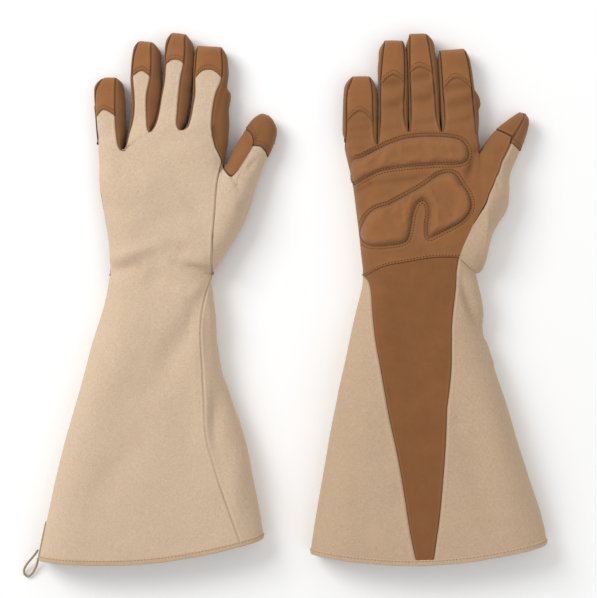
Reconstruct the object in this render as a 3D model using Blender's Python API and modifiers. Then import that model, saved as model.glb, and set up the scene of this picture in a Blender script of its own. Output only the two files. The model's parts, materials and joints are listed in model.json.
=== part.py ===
"""A pair of gauntlet gardening gloves lying flat: the left glove back up, the right glove palm up.

Each glove is a hollow shell of sewn panels on jointed bodies: a flared cuff, a hand, four fingers
and a thumb. X runs to the thumb side, Y to the fingertips and Z up, with the floor at Z = 0.
Sizes are in millimetres and are turned to metres where the meshes are made. In a glove's own
frame the middle of the wrist line is at X = Y = 0.
"""
import math

import bmesh
import bpy
from mathutils import Vector

MM = 0.001

# Cloth and clearances
WALL = 1.6                # canvas or suede with its lining
HEM_WALL = 2.4            # the hem is folded twice
PAD = 3.2                 # foam pads sewn on the palm
GAP = 0.3                 # between pieces that meet
SIDE_CLEARANCE = 0.4      # each side of a finger, in its slot of the knuckle line
TURNED_GAP = 1.2          # between two walls that meet at an angle, measured outside

# Heights of the stuffed shell above the floor
WRIST_HEIGHT = 34.0
PALM_HEIGHT = 30.0
KNUCKLE_HEIGHT = 24.0
FINGER_HEIGHT = 20.0
THUMB_HEIGHT = 20.0
CUFF_HEIGHT = 38.0
HEM_HEIGHT = 33.0
SEAM_HEIGHT = 12.0        # the side seams run at this height
SEAM_LEAD = 0.02          # share of a panel that stands upright at its seam

# Fingers
STRIP_INSET = 3.0         # the front, back and cap strips stop this far inside each side
BOXINESS = 3.0            # exponent of the finger's section
TIP_ROUND = 8.0           # the cap bends over the tip in this radius
CAP_BACK = 25.0           # length of the tip cap on the back of the hand
CAP_PALM = 30.0           # and on the palm side

HEM_BAND = 4.5            # the hem binding's height along the cuff
LOOP_DIAMETER = 1.8

# How the hand's sheets are divided: places across a finger's root where a column of faces ends
ROOT_COLUMNS = (0, 0.5, 1)
PINKY_ROOT_COLUMNS = (0, 0.003, 0.12, 0.45, 1)   # the first ones stand upright at the side seam
INDEX_ROOT_COLUMNS = (0, 0.55, 0.88, 1)
SEAM_COLUMNS = (0, 0.0006, 0.012)                # the same upright columns, as shares of the palm

# Cuff outline: how far each edge has moved from its place at the wrist to its place at the hem
PINKY_FLARE = ((0, 0), (0.08, 0.05), (0.22, 0.23), (0.4, 0.45), (0.68, 0.72), (0.9, 0.92), (1, 1))
THUMB_FLARE = ((0, 0), (0.1, 0.07), (0.235, 0.09), (0.45, 0.37), (0.715, 0.686), (0.935, 0.94), (1, 1))
# The dark stripe on the palm side of the cuff: its edges as shares of the width, wrist to hem
STRIPE_PINKY = ((0, 0.06), (0.4, 0.22), (1, 0.435))
STRIPE_THUMB = ((0, 0.80), (0.4, 0.66), (1, 0.51))
# The seam on the back of the cuff, where the thumb side panel comes round the edge
BACK_SEAM = ((0, 0.93), (0.4, 0.84), (1, 0.89))

# Pads on the palm, as shares of the palm's width and length
UPPER_PAD_LOW = ((0.10, 0.80), (0.14, 0.765), (0.27, 0.786), (0.53, 0.794), (0.87, 0.766), (0.91, 0.83))
UPPER_PAD_HIGH = ((0.10, 0.88), (0.14, 0.93), (0.27, 0.95), (0.53, 0.955), (0.84, 0.94), (0.91, 0.87))
HEEL_PAD_LOW = (
    (0.10, 0.30), (0.14, 0.235), (0.40, 0.234), (0.44, 0.29), (0.46, 0.40), (0.51, 0.526),
    (0.575, 0.55), (0.61, 0.44), (0.63, 0.28), (0.83, 0.333), (0.905, 0.395), (0.92, 0.45))
HEEL_PAD_HIGH = ((0.10, 0.42), (0.18, 0.52), (0.34, 0.55), (0.65, 0.68), (0.79, 0.73), (0.92, 0.525))

# One glove: place is the middle of its wrist line; a finger's gap is the space left before it
LEFT = {
    "name": "left", "palm_up": False, "place": (-106.0, 18.4),
    "wrist_width": 83.3, "wrist_tilt": 3.3,
    "cuff_length": 216.0, "hem_width": 180.0, "hem_shift": -7.6, "hem_tilt": 5.6, "hem_bow": 9.0,
    "knuckle_start": -49.4,
    "fingers": (
        {"name": "pinky", "gap": 0.0, "width": 20.0, "length": 57.5, "lean": 1.2, "root": 101.6},
        {"name": "ring", "gap": 0.2, "width": 21.4, "length": 79.5, "lean": -5.2, "root": 108.8},
        {"name": "middle", "gap": 0.4, "width": 22.8, "length": 80.0, "lean": -7.8, "root": 115.2},
        {"name": "index", "gap": 7.0, "width": 28.0, "length": 69.0, "lean": -3.7, "root": 115.2}),
    "crotch": (51.2, 88.8),
    "thumb": (
        ((52.0, 89.6), (59.6, 30.4)), ((53.2, 92.0), (70.0, 51.2)), ((55.6, 96.8), (78.0, 76.8)),
        ((62.0, 108.4), (85.0, 94.4)), ((68.4, 118.0), (90.0, 105.6))),
    "thumb_tip": (((73.2, 125.6), (92.4, 117.6)), ((78.5, 129.2), (88.0, 127.2)))}
RIGHT = {
    "name": "right", "palm_up": True, "place": (99.6, 21.2),
    "wrist_width": 89.4, "wrist_tilt": 6.7,
    "cuff_length": 219.0, "hem_width": 188.5, "hem_shift": 9.4, "hem_tilt": 2.2, "hem_bow": 11.0,
    "knuckle_start": -57.6,
    "fingers": (
        {"name": "pinky", "gap": 0.0, "width": 24.0, "length": 58.5, "lean": -0.4, "root": 98.8},
        {"name": "ring", "gap": 3.0, "width": 21.6, "length": 80.0, "lean": -0.6, "root": 106.0},
        {"name": "middle", "gap": 3.6, "width": 21.2, "length": 80.0, "lean": 1.4, "root": 111.6},
        {"name": "index", "gap": 5.2, "width": 25.6, "length": 67.5, "lean": 4.8, "root": 111.6}),
    "crotch": (48.4, 96.4),
    "thumb": (
        ((49.2, 97.2), (58.0, 27.6)), ((50.8, 99.2), (70.0, 50.0)), ((54.0, 103.6), (74.0, 75.6)),
        ((58.8, 110.0), (79.6, 92.4)), ((63.6, 114.4), (84.4, 103.6))),
    "thumb_tip": (((70.0, 120.4), (88.4, 117.2)), ((76.8, 125.2), (87.0, 126.0)))}

# The hanging loop's route in the left glove's frame, from the side of the hem back to its edge
LOOP_ROUTE = (
    (-98.6, -219.6, 11.5), (-101.0, -223.2, 10.2), (-104.6, -227.4, 7.4), (-108.4, -232.0, 4.4),
    (-110.9, -236.6, 2.4), (-110.6, -240.6, 1.6), (-107.6, -242.2, 1.6), (-104.2, -239.6, 1.9),
    (-101.6, -235.0, 3.0), (-99.8, -230.4, 5.4), (-98.9, -226.8, 8.2))


# ---------------------------------------------------------------- materials and scene

def principled(name, color, roughness):
    """A plain cloth material."""
    material = bpy.data.materials.new(name)
    material.use_nodes = True
    shader = material.node_tree.nodes["Principled BSDF"]
    shader.inputs["Base Color"].default_value = (*color, 1.0)
    shader.inputs["Roughness"].default_value = roughness
    shader.inputs["Metallic"].default_value = 0.0
    material.diffuse_color = (*color, 1.0)
    return material


def empty(name, place, parent=None, turn=0.0):
    """A guide that pieces hang on; place is in millimetres in the parent's frame."""
    guide = bpy.data.objects.new(name, None)
    guide.location = Vector(place) * MM
    guide.rotation_euler.z = math.radians(turn)
    guide.parent = parent
    PARTS.objects.link(guide)
    return guide


def finish(name, bm, kind, parent, origin):
    """Turn a bmesh in millimetres into a named object whose frame is moved back by origin."""
    bmesh.ops.scale(bm, vec=(MM, MM, MM), verts=bm.verts)
    mesh = bpy.data.meshes.new(name)
    bm.to_mesh(mesh)
    bm.free()
    mesh.materials.append(kind)
    mesh.shade_smooth()
    mesh.set_sharp_from_angle(angle=math.radians(40))
    piece = bpy.data.objects.new(name, mesh)
    piece.parent = parent
    piece.location = Vector(origin) * -MM
    PARTS.objects.link(piece)
    return piece


# ---------------------------------------------------------------- small maths

def along(table, share):
    """Straight-line reading of a table of (share, value) pairs."""
    for (low, start), (high, end) in zip(table, table[1:]):
        if share <= high:
            return start + (end - start) * (share - low) / (high - low)
    return table[-1][1]


def mix(start, end, share):
    return tuple(a + (b - a) * share for a, b in zip(start, end))


def spread(start, end, count):
    """Evenly spaced values from start to end."""
    return [start + (end - start) * step / (count - 1) for step in range(count)]


def dome(share, openness=0.0):
    """Height of a stuffed sheet, 0 at its seams and 1 in the middle; openness lifts the far end."""
    across = 2 * share - 1
    rise = math.sqrt(max(0.0, 1 - abs(across) ** 3))
    return rise + openness * (1 - rise) if across > 0 else rise


def sole(share, openness=0.0):
    """The same for the sheet that lies on the floor: exactly flat across its middle."""
    across = max(0.0, (abs(2 * share - 1) - 0.7) / 0.3)
    rise = math.sqrt(max(0.0, 1 - across ** 2))
    return rise + openness * (1 - rise) if share > 0.5 else rise


def sheet_z(share, on_top, height, base=0.0, openness=0.0):
    """Height of the shell's upper or lower sheet at a share of its width."""
    if on_top:
        return SEAM_HEIGHT + GAP / 2 + (height - SEAM_HEIGHT - GAP / 2) * dome(share, openness)
    return SEAM_HEIGHT - GAP / 2 - (SEAM_HEIGHT - GAP / 2 - base) * sole(share, openness)


# ---------------------------------------------------------------- sheets

def sheet(name, columns, rows, point, inside, kind, parent, origin, wall=WALL, ring=False, even=True):
    """A panel: a grid bent to point(column, row), its wall built inwards from there."""
    bm = bmesh.new()
    bmesh.ops.create_grid(bm, x_segments=len(columns) - 1, y_segments=len(rows) - 1, size=1.0)
    for vert in bm.verts:
        column = columns[round((vert.co.x + 1) / 2 * (len(columns) - 1))]
        row = rows[round((vert.co.y + 1) / 2 * (len(rows) - 1))]
        vert.co = point(column, row)
    if ring:
        bmesh.ops.remove_doubles(bm, verts=bm.verts, dist=0.001)
    bm.normal_update()
    middle = Vector(inside)
    if sum(face.normal.dot(face.calc_center_median() - middle) for face in bm.faces) < 0:
        bmesh.ops.reverse_faces(bm, faces=bm.faces)
    piece = finish(name, bm, kind, parent, origin)
    solidify = piece.modifiers.new("wall", "SOLIDIFY")
    solidify.thickness = wall * MM
    solidify.offset = -1.0
    solidify.use_even_offset = even
    return piece


def cutter(name, corners, height, parent, origin):
    """An upright prism over a plan outline, hidden, for trimming pieces at a joint."""
    bm = bmesh.new()
    floor = [bm.verts.new((x, y, -height)) for x, y in corners]
    prism = bmesh.ops.extrude_face_region(bm, geom=[bm.faces.new(floor)])
    risen = [item for item in prism["geom"] if isinstance(item, bmesh.types.BMVert)]
    bmesh.ops.translate(bm, vec=(0, 0, 3 * height), verts=risen)
    bmesh.ops.recalc_face_normals(bm, faces=bm.faces)
    block = finish(name, bm, CANVAS, parent, origin)
    PARTS.objects.unlink(block)
    CUTTERS.objects.link(block)
    block.hide_render = True
    block.display_type = "WIRE"
    return block


def trim(piece, block):
    """Cut a piece back by a cutter."""
    cut = piece.modifiers.new("trim", "BOOLEAN")
    cut.operation = "DIFFERENCE"
    cut.solver = "EXACT"
    cut.object = block


# ---------------------------------------------------------------- the glove's outline

def wrist_ends(glove):
    """Pinky-side and thumb-side ends of the wrist line."""
    half, tilt = glove["wrist_width"] / 2, math.radians(glove["wrist_tilt"])
    reach = (half * math.cos(tilt), half * math.sin(tilt))
    return (-reach[0], -reach[1]), reach


def hem_ends(glove):
    """Pinky-side and thumb-side ends of the hem."""
    half, tilt = glove["hem_width"] / 2, math.radians(glove["hem_tilt"])
    shift, drop = glove["hem_shift"], -glove["cuff_length"]
    reach = (half * math.cos(tilt), half * math.sin(tilt))
    return (shift - reach[0], drop - reach[1]), (shift + reach[0], drop + reach[1])


def finger_slots(glove):
    """Each finger's root on the knuckle line: its middle, its direction and its slot's ends."""
    slots, edge = [], glove["knuckle_start"]
    for finger in glove["fingers"]:
        lean = math.radians(finger["lean"])
        side = Vector((math.cos(lean), math.sin(lean)))
        middle = Vector((edge + finger["gap"] + finger["width"] / 2, finger["root"]))
        slots.append((finger, middle, middle - side * finger["width"] / 2, middle + side * finger["width"] / 2))
        edge += finger["gap"] + finger["width"]
    return slots


def palm_frame(glove):
    """Corners of the hand: wrist ends, and the outer ends of the knuckle line."""
    slots = finger_slots(glove)
    low, high = wrist_ends(glove)
    return low, high, tuple(slots[0][2]), tuple(slots[-1][3])


def crotch_share(glove):
    """How far up the hand the crotch between thumb and index finger lies."""
    _, wrist, _, knuckle = palm_frame(glove)
    return (glove["crotch"][1] - wrist[1]) / (knuckle[1] - wrist[1])


def palm_plan(glove, across, up):
    """Plan position in the hand, from the wrist line to the knuckle line."""
    low, high, top_low, top_high = palm_frame(glove)
    split = crotch_share(glove)
    setback = WALL + 2 * GAP
    if up <= split:
        edge = mix(high, glove["crotch"], up / split)
        edge = (edge[0] - GAP, edge[1])
    else:
        step = min(1.0, (up - split) / (1 - split) / 0.12)
        edge = mix(glove["crotch"], top_high, (up - split) / (1 - split))
        edge = (edge[0] - GAP - setback * step * (1 - (up - split) / (1 - split)), edge[1])
    return mix(mix(low, top_low, up), edge, across)


def palm_height(up):
    """Height of the hand's shell from the wrist to the knuckles."""
    return along(((0, WRIST_HEIGHT), (0.3, PALM_HEIGHT), (0.75, PALM_HEIGHT - 2), (1, KNUCKLE_HEIGHT)), up)


def palm_base(glove):
    """The palm of a glove that lies palm down stands on its pads."""
    return 0.0 if glove["palm_up"] else PAD + GAP


def palm_point(glove, across, up, on_top):
    """A point on the hand's shell."""
    split = crotch_share(glove)
    openness = max(0.35, dome(up / split)) if up < split / 2 else 0.85
    x, y = palm_plan(glove, across, up)
    return x, y, sheet_z(across, on_top, palm_height(up), palm_base(glove), openness)


def cuff_point(glove, angle, down, extra=0.0):
    """A point on the cuff: angle runs over the back from the pinky edge, then under the palm side."""
    (low, high), (hem_low, hem_high) = wrist_ends(glove), hem_ends(glove)
    across = (1 - math.cos(angle)) / 2
    left = (low[0] + (hem_low[0] - low[0]) * along(PINKY_FLARE, down), low[1] + (hem_low[1] - low[1]) * down)
    right = (high[0] + (hem_high[0] - high[0]) * along(THUMB_FLARE, down),
             high[1] + (hem_high[1] - high[1]) * down)
    x, y = mix(left, right, across)
    bow = glove["hem_bow"] * down ** 2 * math.sin(math.pi * across)
    height = along(((0, WRIST_HEIGHT), (0.45, CUFF_HEIGHT), (1, HEM_HEIGHT)), down)
    back_side = angle <= math.pi
    on_top = back_side != glove["palm_up"]
    z = sheet_z(across, on_top, height)
    return x, y - bow - extra - GAP / 2, z


# ---------------------------------------------------------------- cuff

def angle_of(share, back_side):
    """The cuff angle at a share of the width, on the back or on the palm side."""
    angle = math.acos(1 - 2 * share)
    return angle if back_side else 2 * math.pi - angle


def build_cuff(glove, parent):
    """Back panel, stripe, two side panels and the hem binding."""
    name = glove["name"]
    rows = [0.0, 0.1, 0.235, 0.4, 0.56, 0.72, 0.87, 1.0]
    slit = math.radians(0.5)
    panels = (
        ("back_panel", CANVAS, 12, lambda down: (slit, angle_of(along(BACK_SEAM, down), True) - slit)),
        ("thumb_side_panel", CANVAS_SIDE, 8, lambda down: (
            angle_of(along(BACK_SEAM, down), True) + slit,
            angle_of(along(STRIPE_THUMB, down), False) - slit)),
        ("palm_stripe", SUEDE_DARK, 6, lambda down: (
            angle_of(along(STRIPE_THUMB, down), False) + slit,
            angle_of(along(STRIPE_PINKY, down), False) - slit)),
        ("pinky_side_panel", CANVAS_SIDE, 6, lambda down: (
            angle_of(along(STRIPE_PINKY, down), False) + slit, 2 * math.pi - slit)))
    inside = (0, -glove["cuff_length"] / 2, CUFF_HEIGHT / 2)
    for label, kind, count, ends in panels:
        def point(share, down, ends=ends):
            start, end = ends(down)
            return cuff_point(glove, start + (end - start) * share, down)
        columns = [0, SEAM_LEAD, *spread(0, 1, count)[1:-1], 1 - SEAM_LEAD, 1]
        sheet(f"{name}_cuff_{label}", columns, rows, point, inside, kind, parent, (0, 0, 0))
    sheet(
        f"{name}_hem_binding", spread(0, 2 * math.pi, 33), [TURNED_GAP, HEM_BAND],
        lambda angle, extra: cuff_point(glove, angle % (2 * math.pi), 1.0, extra),
        (glove["hem_shift"], -glove["cuff_length"], HEM_HEIGHT / 2),
        CANVAS_HEM, parent, (0, 0, 0), wall=HEM_WALL, ring=True)


# ---------------------------------------------------------------- hand

def knuckle_columns(glove):
    """Columns of the hand's sheets: share of the palm's width, share at the knuckles, and end there."""
    slots = finger_slots(glove)
    start, end = slots[0][2].x, slots[-1][3].x
    steps = {"pinky": PINKY_ROOT_COLUMNS, "index": INDEX_ROOT_COLUMNS}
    columns = []
    for finger, _, low, high in slots:
        along_finger = Vector((-math.sin(math.radians(finger["lean"])), math.cos(math.radians(finger["lean"]))))
        for step in steps.get(finger["name"], ROOT_COLUMNS):
            place = low.lerp(high, step) - along_finger * GAP / 2
            share = min(1.0, max(0.0, (place.x - start) / (end - start)))
            across = SEAM_COLUMNS[len(columns)] if len(columns) < len(SEAM_COLUMNS) else share
            columns.append((across, share, place))
    return columns


def build_hand(glove, parent, origin):
    """Back and palm sheets, the two pads and the patch between index finger and thumb."""
    name, palm_up = glove["name"], glove["palm_up"]
    split = crotch_share(glove)
    rows = [0.0, split * 0.12, split * 0.35, split * 0.6, split * 0.85, split, split + 0.03, 0.88, 1.0]
    inside = (0, PALM_HEIGHT * 1.5, PALM_HEIGHT / 2)
    for label, kind, on_top in (
            ("back_panel", CANVAS, not palm_up), ("palm_panel", SUEDE, palm_up)):
        def point(column, up, on_top=on_top):
            across, knuckle_across, knuckle = column
            if up < 1.0:
                x, y, z = palm_point(glove, across, up, on_top)
                return x, y + GAP / 2, z
            return knuckle.x, knuckle.y, palm_point(glove, knuckle_across, up, on_top)[2]
        sheet(f"{name}_hand_{label}", knuckle_columns(glove), rows, point, inside, kind, parent, origin,
              even=False)
    for label, low, high in (
            ("upper_pad", UPPER_PAD_LOW, UPPER_PAD_HIGH), ("heel_pad", HEEL_PAD_LOW, HEEL_PAD_HIGH)):
        build_pad(f"{name}_{label}", glove, low, high, parent, origin)
    build_crotch_patch(glove, parent, origin)


def build_pad(name, glove, low, high, parent, origin):
    """A foam pad that lies on the palm sheet between two outline curves."""
    palm_up = glove["palm_up"]
    lift = (PAD + GAP + 0.2) if palm_up else -(PAD + GAP)
    columns = sorted({share for share, _ in low} | {share for share, _ in high})
    rows = spread(0, 1, 5)

    def point(across, share):
        up = along(low, across) + (along(high, across) - along(low, across)) * share
        x, y, z = palm_point(glove, across, up, palm_up)
        return x, y, z + lift
    inside = (0, 60, PALM_HEIGHT / 2)
    sheet(name, columns, rows, point, inside, SUEDE_PAD, parent, origin, wall=PAD)


def build_crotch_patch(glove, parent, origin):
    """The stitched side wall between the index finger and the thumb."""
    split = crotch_share(glove)
    ups = spread(split + 0.045, 1.0, 5)

    def point(share, up):
        x, y = palm_plan(glove, 1.0, up)
        low = palm_point(glove, 1.0, up, False)[2]
        high = palm_point(glove, 1.0, up, True)[2]
        bulge = 1 - (2 * share - 1) ** 2
        return x + WALL + GAP + 0.4 * bulge, y - GAP, low + (high - low) * share
    edge = palm_plan(glove, 1.0, 0.9)
    sheet(f"{glove['name']}_crotch_patch", spread(0, 1, 5), ups, point,
          (edge[0] - 30, edge[1], SEAM_HEIGHT), SUEDE_EDGE, parent, origin)


# ---------------------------------------------------------------- fingers

def section_half(place, half_width, half_height):
    """Half height of a boxy round section at a place across it."""
    return half_height * (1 - abs(place / half_width) ** BOXINESS) ** (1 / BOXINESS)


def build_finger(glove, finger, parent, origin):
    """Back, front and tip cap strips, and the gusset that runs round both sides and the tip."""
    stem = f"{glove['name']}_{finger['name']}"
    half_width = finger["width"] / 2 - SIDE_CLEARANCE
    half_height = FINGER_HEIGHT / 2
    strip = half_width - STRIP_INSET
    length = finger["length"]
    across = spread(-strip, strip, 5)
    caps = (CAP_PALM, CAP_BACK) if glove["palm_up"] else (CAP_BACK, CAP_PALM)
    inside = (0, length / 2, half_height)
    for label, on_top in (("back", not glove["palm_up"]), ("front", glove["palm_up"])):
        cap = caps[0] if on_top else caps[1]
        sign = 1 if on_top else -1
        sheet(
            f"{stem}_{label}", across, spread(GAP / 2, length - cap - GAP / 2, 4),
            lambda x, y, sign=sign: (x, y, half_height + sign * section_half(x, half_width, half_height)),
            inside, CANVAS if label == "back" else SUEDE, parent, origin)

    def cap_point(x, turn):
        half = section_half(x, half_width, half_height)
        if abs(turn) > 90:
            y = length - caps[0 if turn > 0 else 1] + GAP / 2
            return x, y, half_height + math.copysign(half, turn)
        lift, reach = math.sin(math.radians(turn)), math.cos(math.radians(turn))
        y = length - TIP_ROUND + TIP_ROUND * abs(reach) ** (2 / BOXINESS)
        return x, y, half_height + math.copysign(half * abs(lift) ** (2 / BOXINESS), lift)
    turns = [100, 90, 65, 40, 20, 0, -20, -40, -65, -90, -100]
    sheet(f"{stem}_tip_cap", across, turns, cap_point, (0, length - CAP_BACK, half_height), SUEDE_CAP,
          parent, origin)
    build_gusset(f"{stem}_gusset", half_width, half_height, strip, length, parent, origin)


def build_gusset(name, half_width, half_height, strip, length, parent, origin):
    """A wall up one side of the finger, round under the cap and down the other side."""
    edge = section_half(strip, half_width, half_height) - TURNED_GAP
    tip = length - WALL - GAP - 0.1
    radius = min(TIP_ROUND, half_width - 1)
    tip_edge = half_height / 2
    route = [(-1, GAP / 2), (-1, (tip - radius) / 2)]
    route += [(turn, None) for turn in (180, 150, 120, 90, 60, 30, 0)]
    route += [(1, (tip - radius) / 2), (1, GAP / 2)]

    def point(level, place):
        kind, y = route[place]
        if y is not None:
            share, centre, out = 0.0, Vector((0, y)), Vector((kind, 0))
            reach = half_width
        else:
            turn = math.radians(kind)
            share = math.sin(turn)
            out = Vector((math.cos(turn), math.sin(turn)))
            side = 0.0 if kind == 90 else math.copysign(half_width - radius, out.x)
            centre, reach = Vector((side, tip - radius)), radius
        rise = (edge + (tip_edge - edge) * share) * level
        inset = half_width - section_half(rise, half_height, half_width)
        spot = centre + out * (reach - inset)
        return spot.x, spot.y, half_height + rise
    sheet(name, [-1, -0.6, 0, 0.6, 1], list(range(len(route))), point,
          (0, length / 2, half_height), SUEDE_EDGE, parent, origin)


# ---------------------------------------------------------------- thumb

def build_thumb(glove, parent, origin):
    """Back and front sheets that fan out from the hand, and a closed cap over the tip."""
    name, palm_up = glove["name"], glove["palm_up"]
    _, wrist = wrist_ends(glove)
    sections = [(glove["crotch"], wrist), *glove["thumb"]]
    heights = [PALM_HEIGHT, PALM_HEIGHT - 1, 27, 24, THUMB_HEIGHT + 1, THUMB_HEIGHT]
    seam = sections[-1]
    middle = mix(seam[0], seam[1], 0.5)
    base = mix(glove["crotch"], wrist, 0.5)
    outward = Vector(middle) - Vector(base)
    outward.normalize()
    block = cutter(f"{name}_thumb_line", base_block(glove["crotch"], wrist), 60, parent, origin)

    def point(share, place, on_top):
        inner, outer = sections[place]
        x, y = mix(inner, outer, share)
        back = GAP / 2 if place == len(sections) - 1 else 0.0
        return x - outward.x * back, y - outward.y * back, sheet_z(share, on_top, heights[place])
    turns = [0, 180 * SEAM_LEAD, *spread(0, 180, 10)[1:-1], 180 * (1 - SEAM_LEAD), 180]
    shares = [(1 - math.cos(math.radians(turn))) / 2 for turn in turns]
    for label, kind, on_top in (("back", CANVAS, not palm_up), ("front", SUEDE, palm_up)):
        piece = sheet(
            f"{name}_thumb_{label}", shares, list(range(len(sections))),
            lambda share, place, on_top=on_top: point(share, place, on_top),
            (*mix(base, middle, 0.6), SEAM_HEIGHT), kind, parent, origin)
        trim(piece, block)
    build_thumb_cap(glove, seam, outward, parent, origin)


def base_block(crotch, wrist):
    """Plan of the block that trims the thumb along its hinge line."""
    start, end = Vector(crotch), Vector(wrist)
    run = (start - end).normalized()
    out = Vector((run.y, -run.x)) * GAP / 2
    start, end = start + run * 60 + out, end - run * 60 + out
    away = out.normalized() * 60
    return [tuple(start), tuple(end), tuple(end - away), tuple(start - away)]


def build_thumb_cap(glove, seam, outward, parent, origin):
    """A sock over the thumb's tip, open towards the hand."""
    sections = [seam, *glove["thumb_tip"]]
    heights = [THUMB_HEIGHT, THUMB_HEIGHT - 2, THUMB_HEIGHT - 7]
    floors = [0.0, 0.8, 3.5]
    ring = spread(0, 2 * math.pi, 17)

    def point(angle, place):
        inner, outer = sections[place]
        angle %= 2 * math.pi
        share = (1 - math.cos(angle)) / 2
        x, y = mix(inner, outer, share)
        ahead = TURNED_GAP if place == 0 else 0.0
        middle = (heights[place] + floors[place]) / 2
        half = (heights[place] - floors[place]) / 2
        rise = math.copysign(abs(math.sin(angle)) ** 0.8, math.sin(angle))
        return x + outward.x * ahead, y + outward.y * ahead, middle + half * rise
    cap = sheet(f"{glove['name']}_thumb_tip_cap", ring, [0, 1, 2], point,
                (*mix(*sections[1], 0.5), SEAM_HEIGHT - 2), SUEDE_CAP, parent, origin, ring=True)
    close_tip(cap.data, Vector(sections[-1][0]) * MM)


def close_tip(mesh, tip):
    """Fill the small end of the thumb cap."""
    bm = bmesh.new()
    bm.from_mesh(mesh)
    rims = [edge for edge in bm.edges if edge.is_boundary]
    near = [edge for edge in rims if all((vert.co.xy - tip).length < 14 * MM for vert in edge.verts)]
    bmesh.ops.contextual_create(bm, geom=near)
    bmesh.ops.recalc_face_normals(bm, faces=bm.faces)
    bm.to_mesh(mesh)
    bm.free()


# ---------------------------------------------------------------- hanging loop

def build_loop(parent):
    """A cord loop sewn into the pinky end of the left glove's hem."""
    smooth = bpy.data.curves.new("loop_route", "CURVE")
    smooth.dimensions = "3D"
    smooth.bevel_depth = LOOP_DIAMETER / 2 * MM
    smooth.bevel_resolution = 2
    smooth.use_fill_caps = True
    points = rounded(LOOP_ROUTE, 2)
    spline = smooth.splines.new("POLY")
    spline.points.add(len(points) - 1)
    for target, place in zip(spline.points, points):
        target.co = (*(Vector(place) * MM), 1.0)
    smooth.materials.append(CORD)
    loop = bpy.data.objects.new("left_hang_loop", smooth)
    loop.parent = parent
    PARTS.objects.link(loop)


def rounded(route, steps):
    """Points on a smooth curve through the route's own points."""
    places = [Vector(place) for place in route]
    ends = [2 * places[0] - places[1], *places, 2 * places[-1] - places[-2]]
    points = []
    for before, start, end, after in zip(ends, ends[1:], ends[2:], ends[3:]):
        for step in range(steps):
            t = step / steps
            points.append(0.5 * (
                2 * start + (end - before) * t + (2 * before - 5 * start + 4 * end - after) * t ** 2
                + (3 * start - before - 3 * end + after) * t ** 3))
    return [*points, places[-1]]


# ---------------------------------------------------------------- the pair

def build_glove(glove):
    """One glove with a guide on each joint's axis."""
    name = glove["name"]
    cuff = empty(f"{name}_glove_place", (*glove["place"], 0))
    build_cuff(glove, cuff)
    crease = WRIST_HEIGHT if glove["palm_up"] else 0.0
    wrist = empty(f"{name}_wrist_axis", (0, 0, crease), cuff, glove["wrist_tilt"])
    hand = empty(f"{name}_hand_place", (0, 0, 0), wrist, -glove["wrist_tilt"])
    build_hand(glove, hand, (0, 0, crease))
    for finger, middle, _, _ in finger_slots(glove):
        crease_up = KNUCKLE_HEIGHT if glove["palm_up"] else 0.0
        axis = empty(f"{name}_{finger['name']}_axis", (*middle, crease_up - crease), hand, finger["lean"])
        build_finger(glove, finger, axis, (0, 0, crease_up))
    crotch, corner = glove["crotch"], wrist_ends(glove)[1]
    crease_up = PALM_HEIGHT if glove["palm_up"] else 0.0
    turn = math.degrees(math.atan2(corner[0] - crotch[0], crotch[1] - corner[1]))
    axis = empty(f"{name}_thumb_axis", (*crotch, crease_up - crease), hand, turn)
    thumb = empty(f"{name}_thumb_place", (0, 0, 0), axis, -turn)
    build_thumb(glove, thumb, (*crotch, crease_up))
    return cuff


for old in list(bpy.data.objects):
    bpy.data.objects.remove(old, do_unlink=True)

PARTS = bpy.data.collections.new("gardening_gloves")
CUTTERS = bpy.data.collections.new("cutters")
bpy.context.scene.collection.children.link(PARTS)
bpy.context.scene.collection.children.link(CUTTERS)

CANVAS = principled("canvas", (0.58, 0.44, 0.31), 0.95)
CANVAS_SIDE = principled("canvas_side", (0.52, 0.38, 0.26), 0.95)
CANVAS_HEM = principled("canvas_hem", (0.55, 0.39, 0.26), 0.95)
SUEDE = principled("suede", (0.31, 0.15, 0.06), 0.9)
SUEDE_CAP = principled("suede_cap", (0.33, 0.16, 0.07), 0.9)
SUEDE_EDGE = principled("suede_edge", (0.28, 0.13, 0.05), 0.9)
SUEDE_PAD = principled("suede_pad", (0.34, 0.17, 0.07), 0.9)
SUEDE_DARK = principled("suede_dark", (0.20, 0.09, 0.035), 0.9)
CORD = principled("cord", (0.32, 0.20, 0.12), 0.9)

left_place = build_glove(LEFT)
build_glove(RIGHT)
build_loop(left_place)
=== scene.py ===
"""Looks for a pair of gauntlet gardening gloves that lie flat, the left back up and the right palm up.

Sizes are in millimetres in a glove's own frame, whose origin is the middle of its wrist line, and
are turned to metres in the row frame where a mesh is made.
"""
import json
import math

import bmesh
import bpy
import numpy as np
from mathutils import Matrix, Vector, noise


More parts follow.
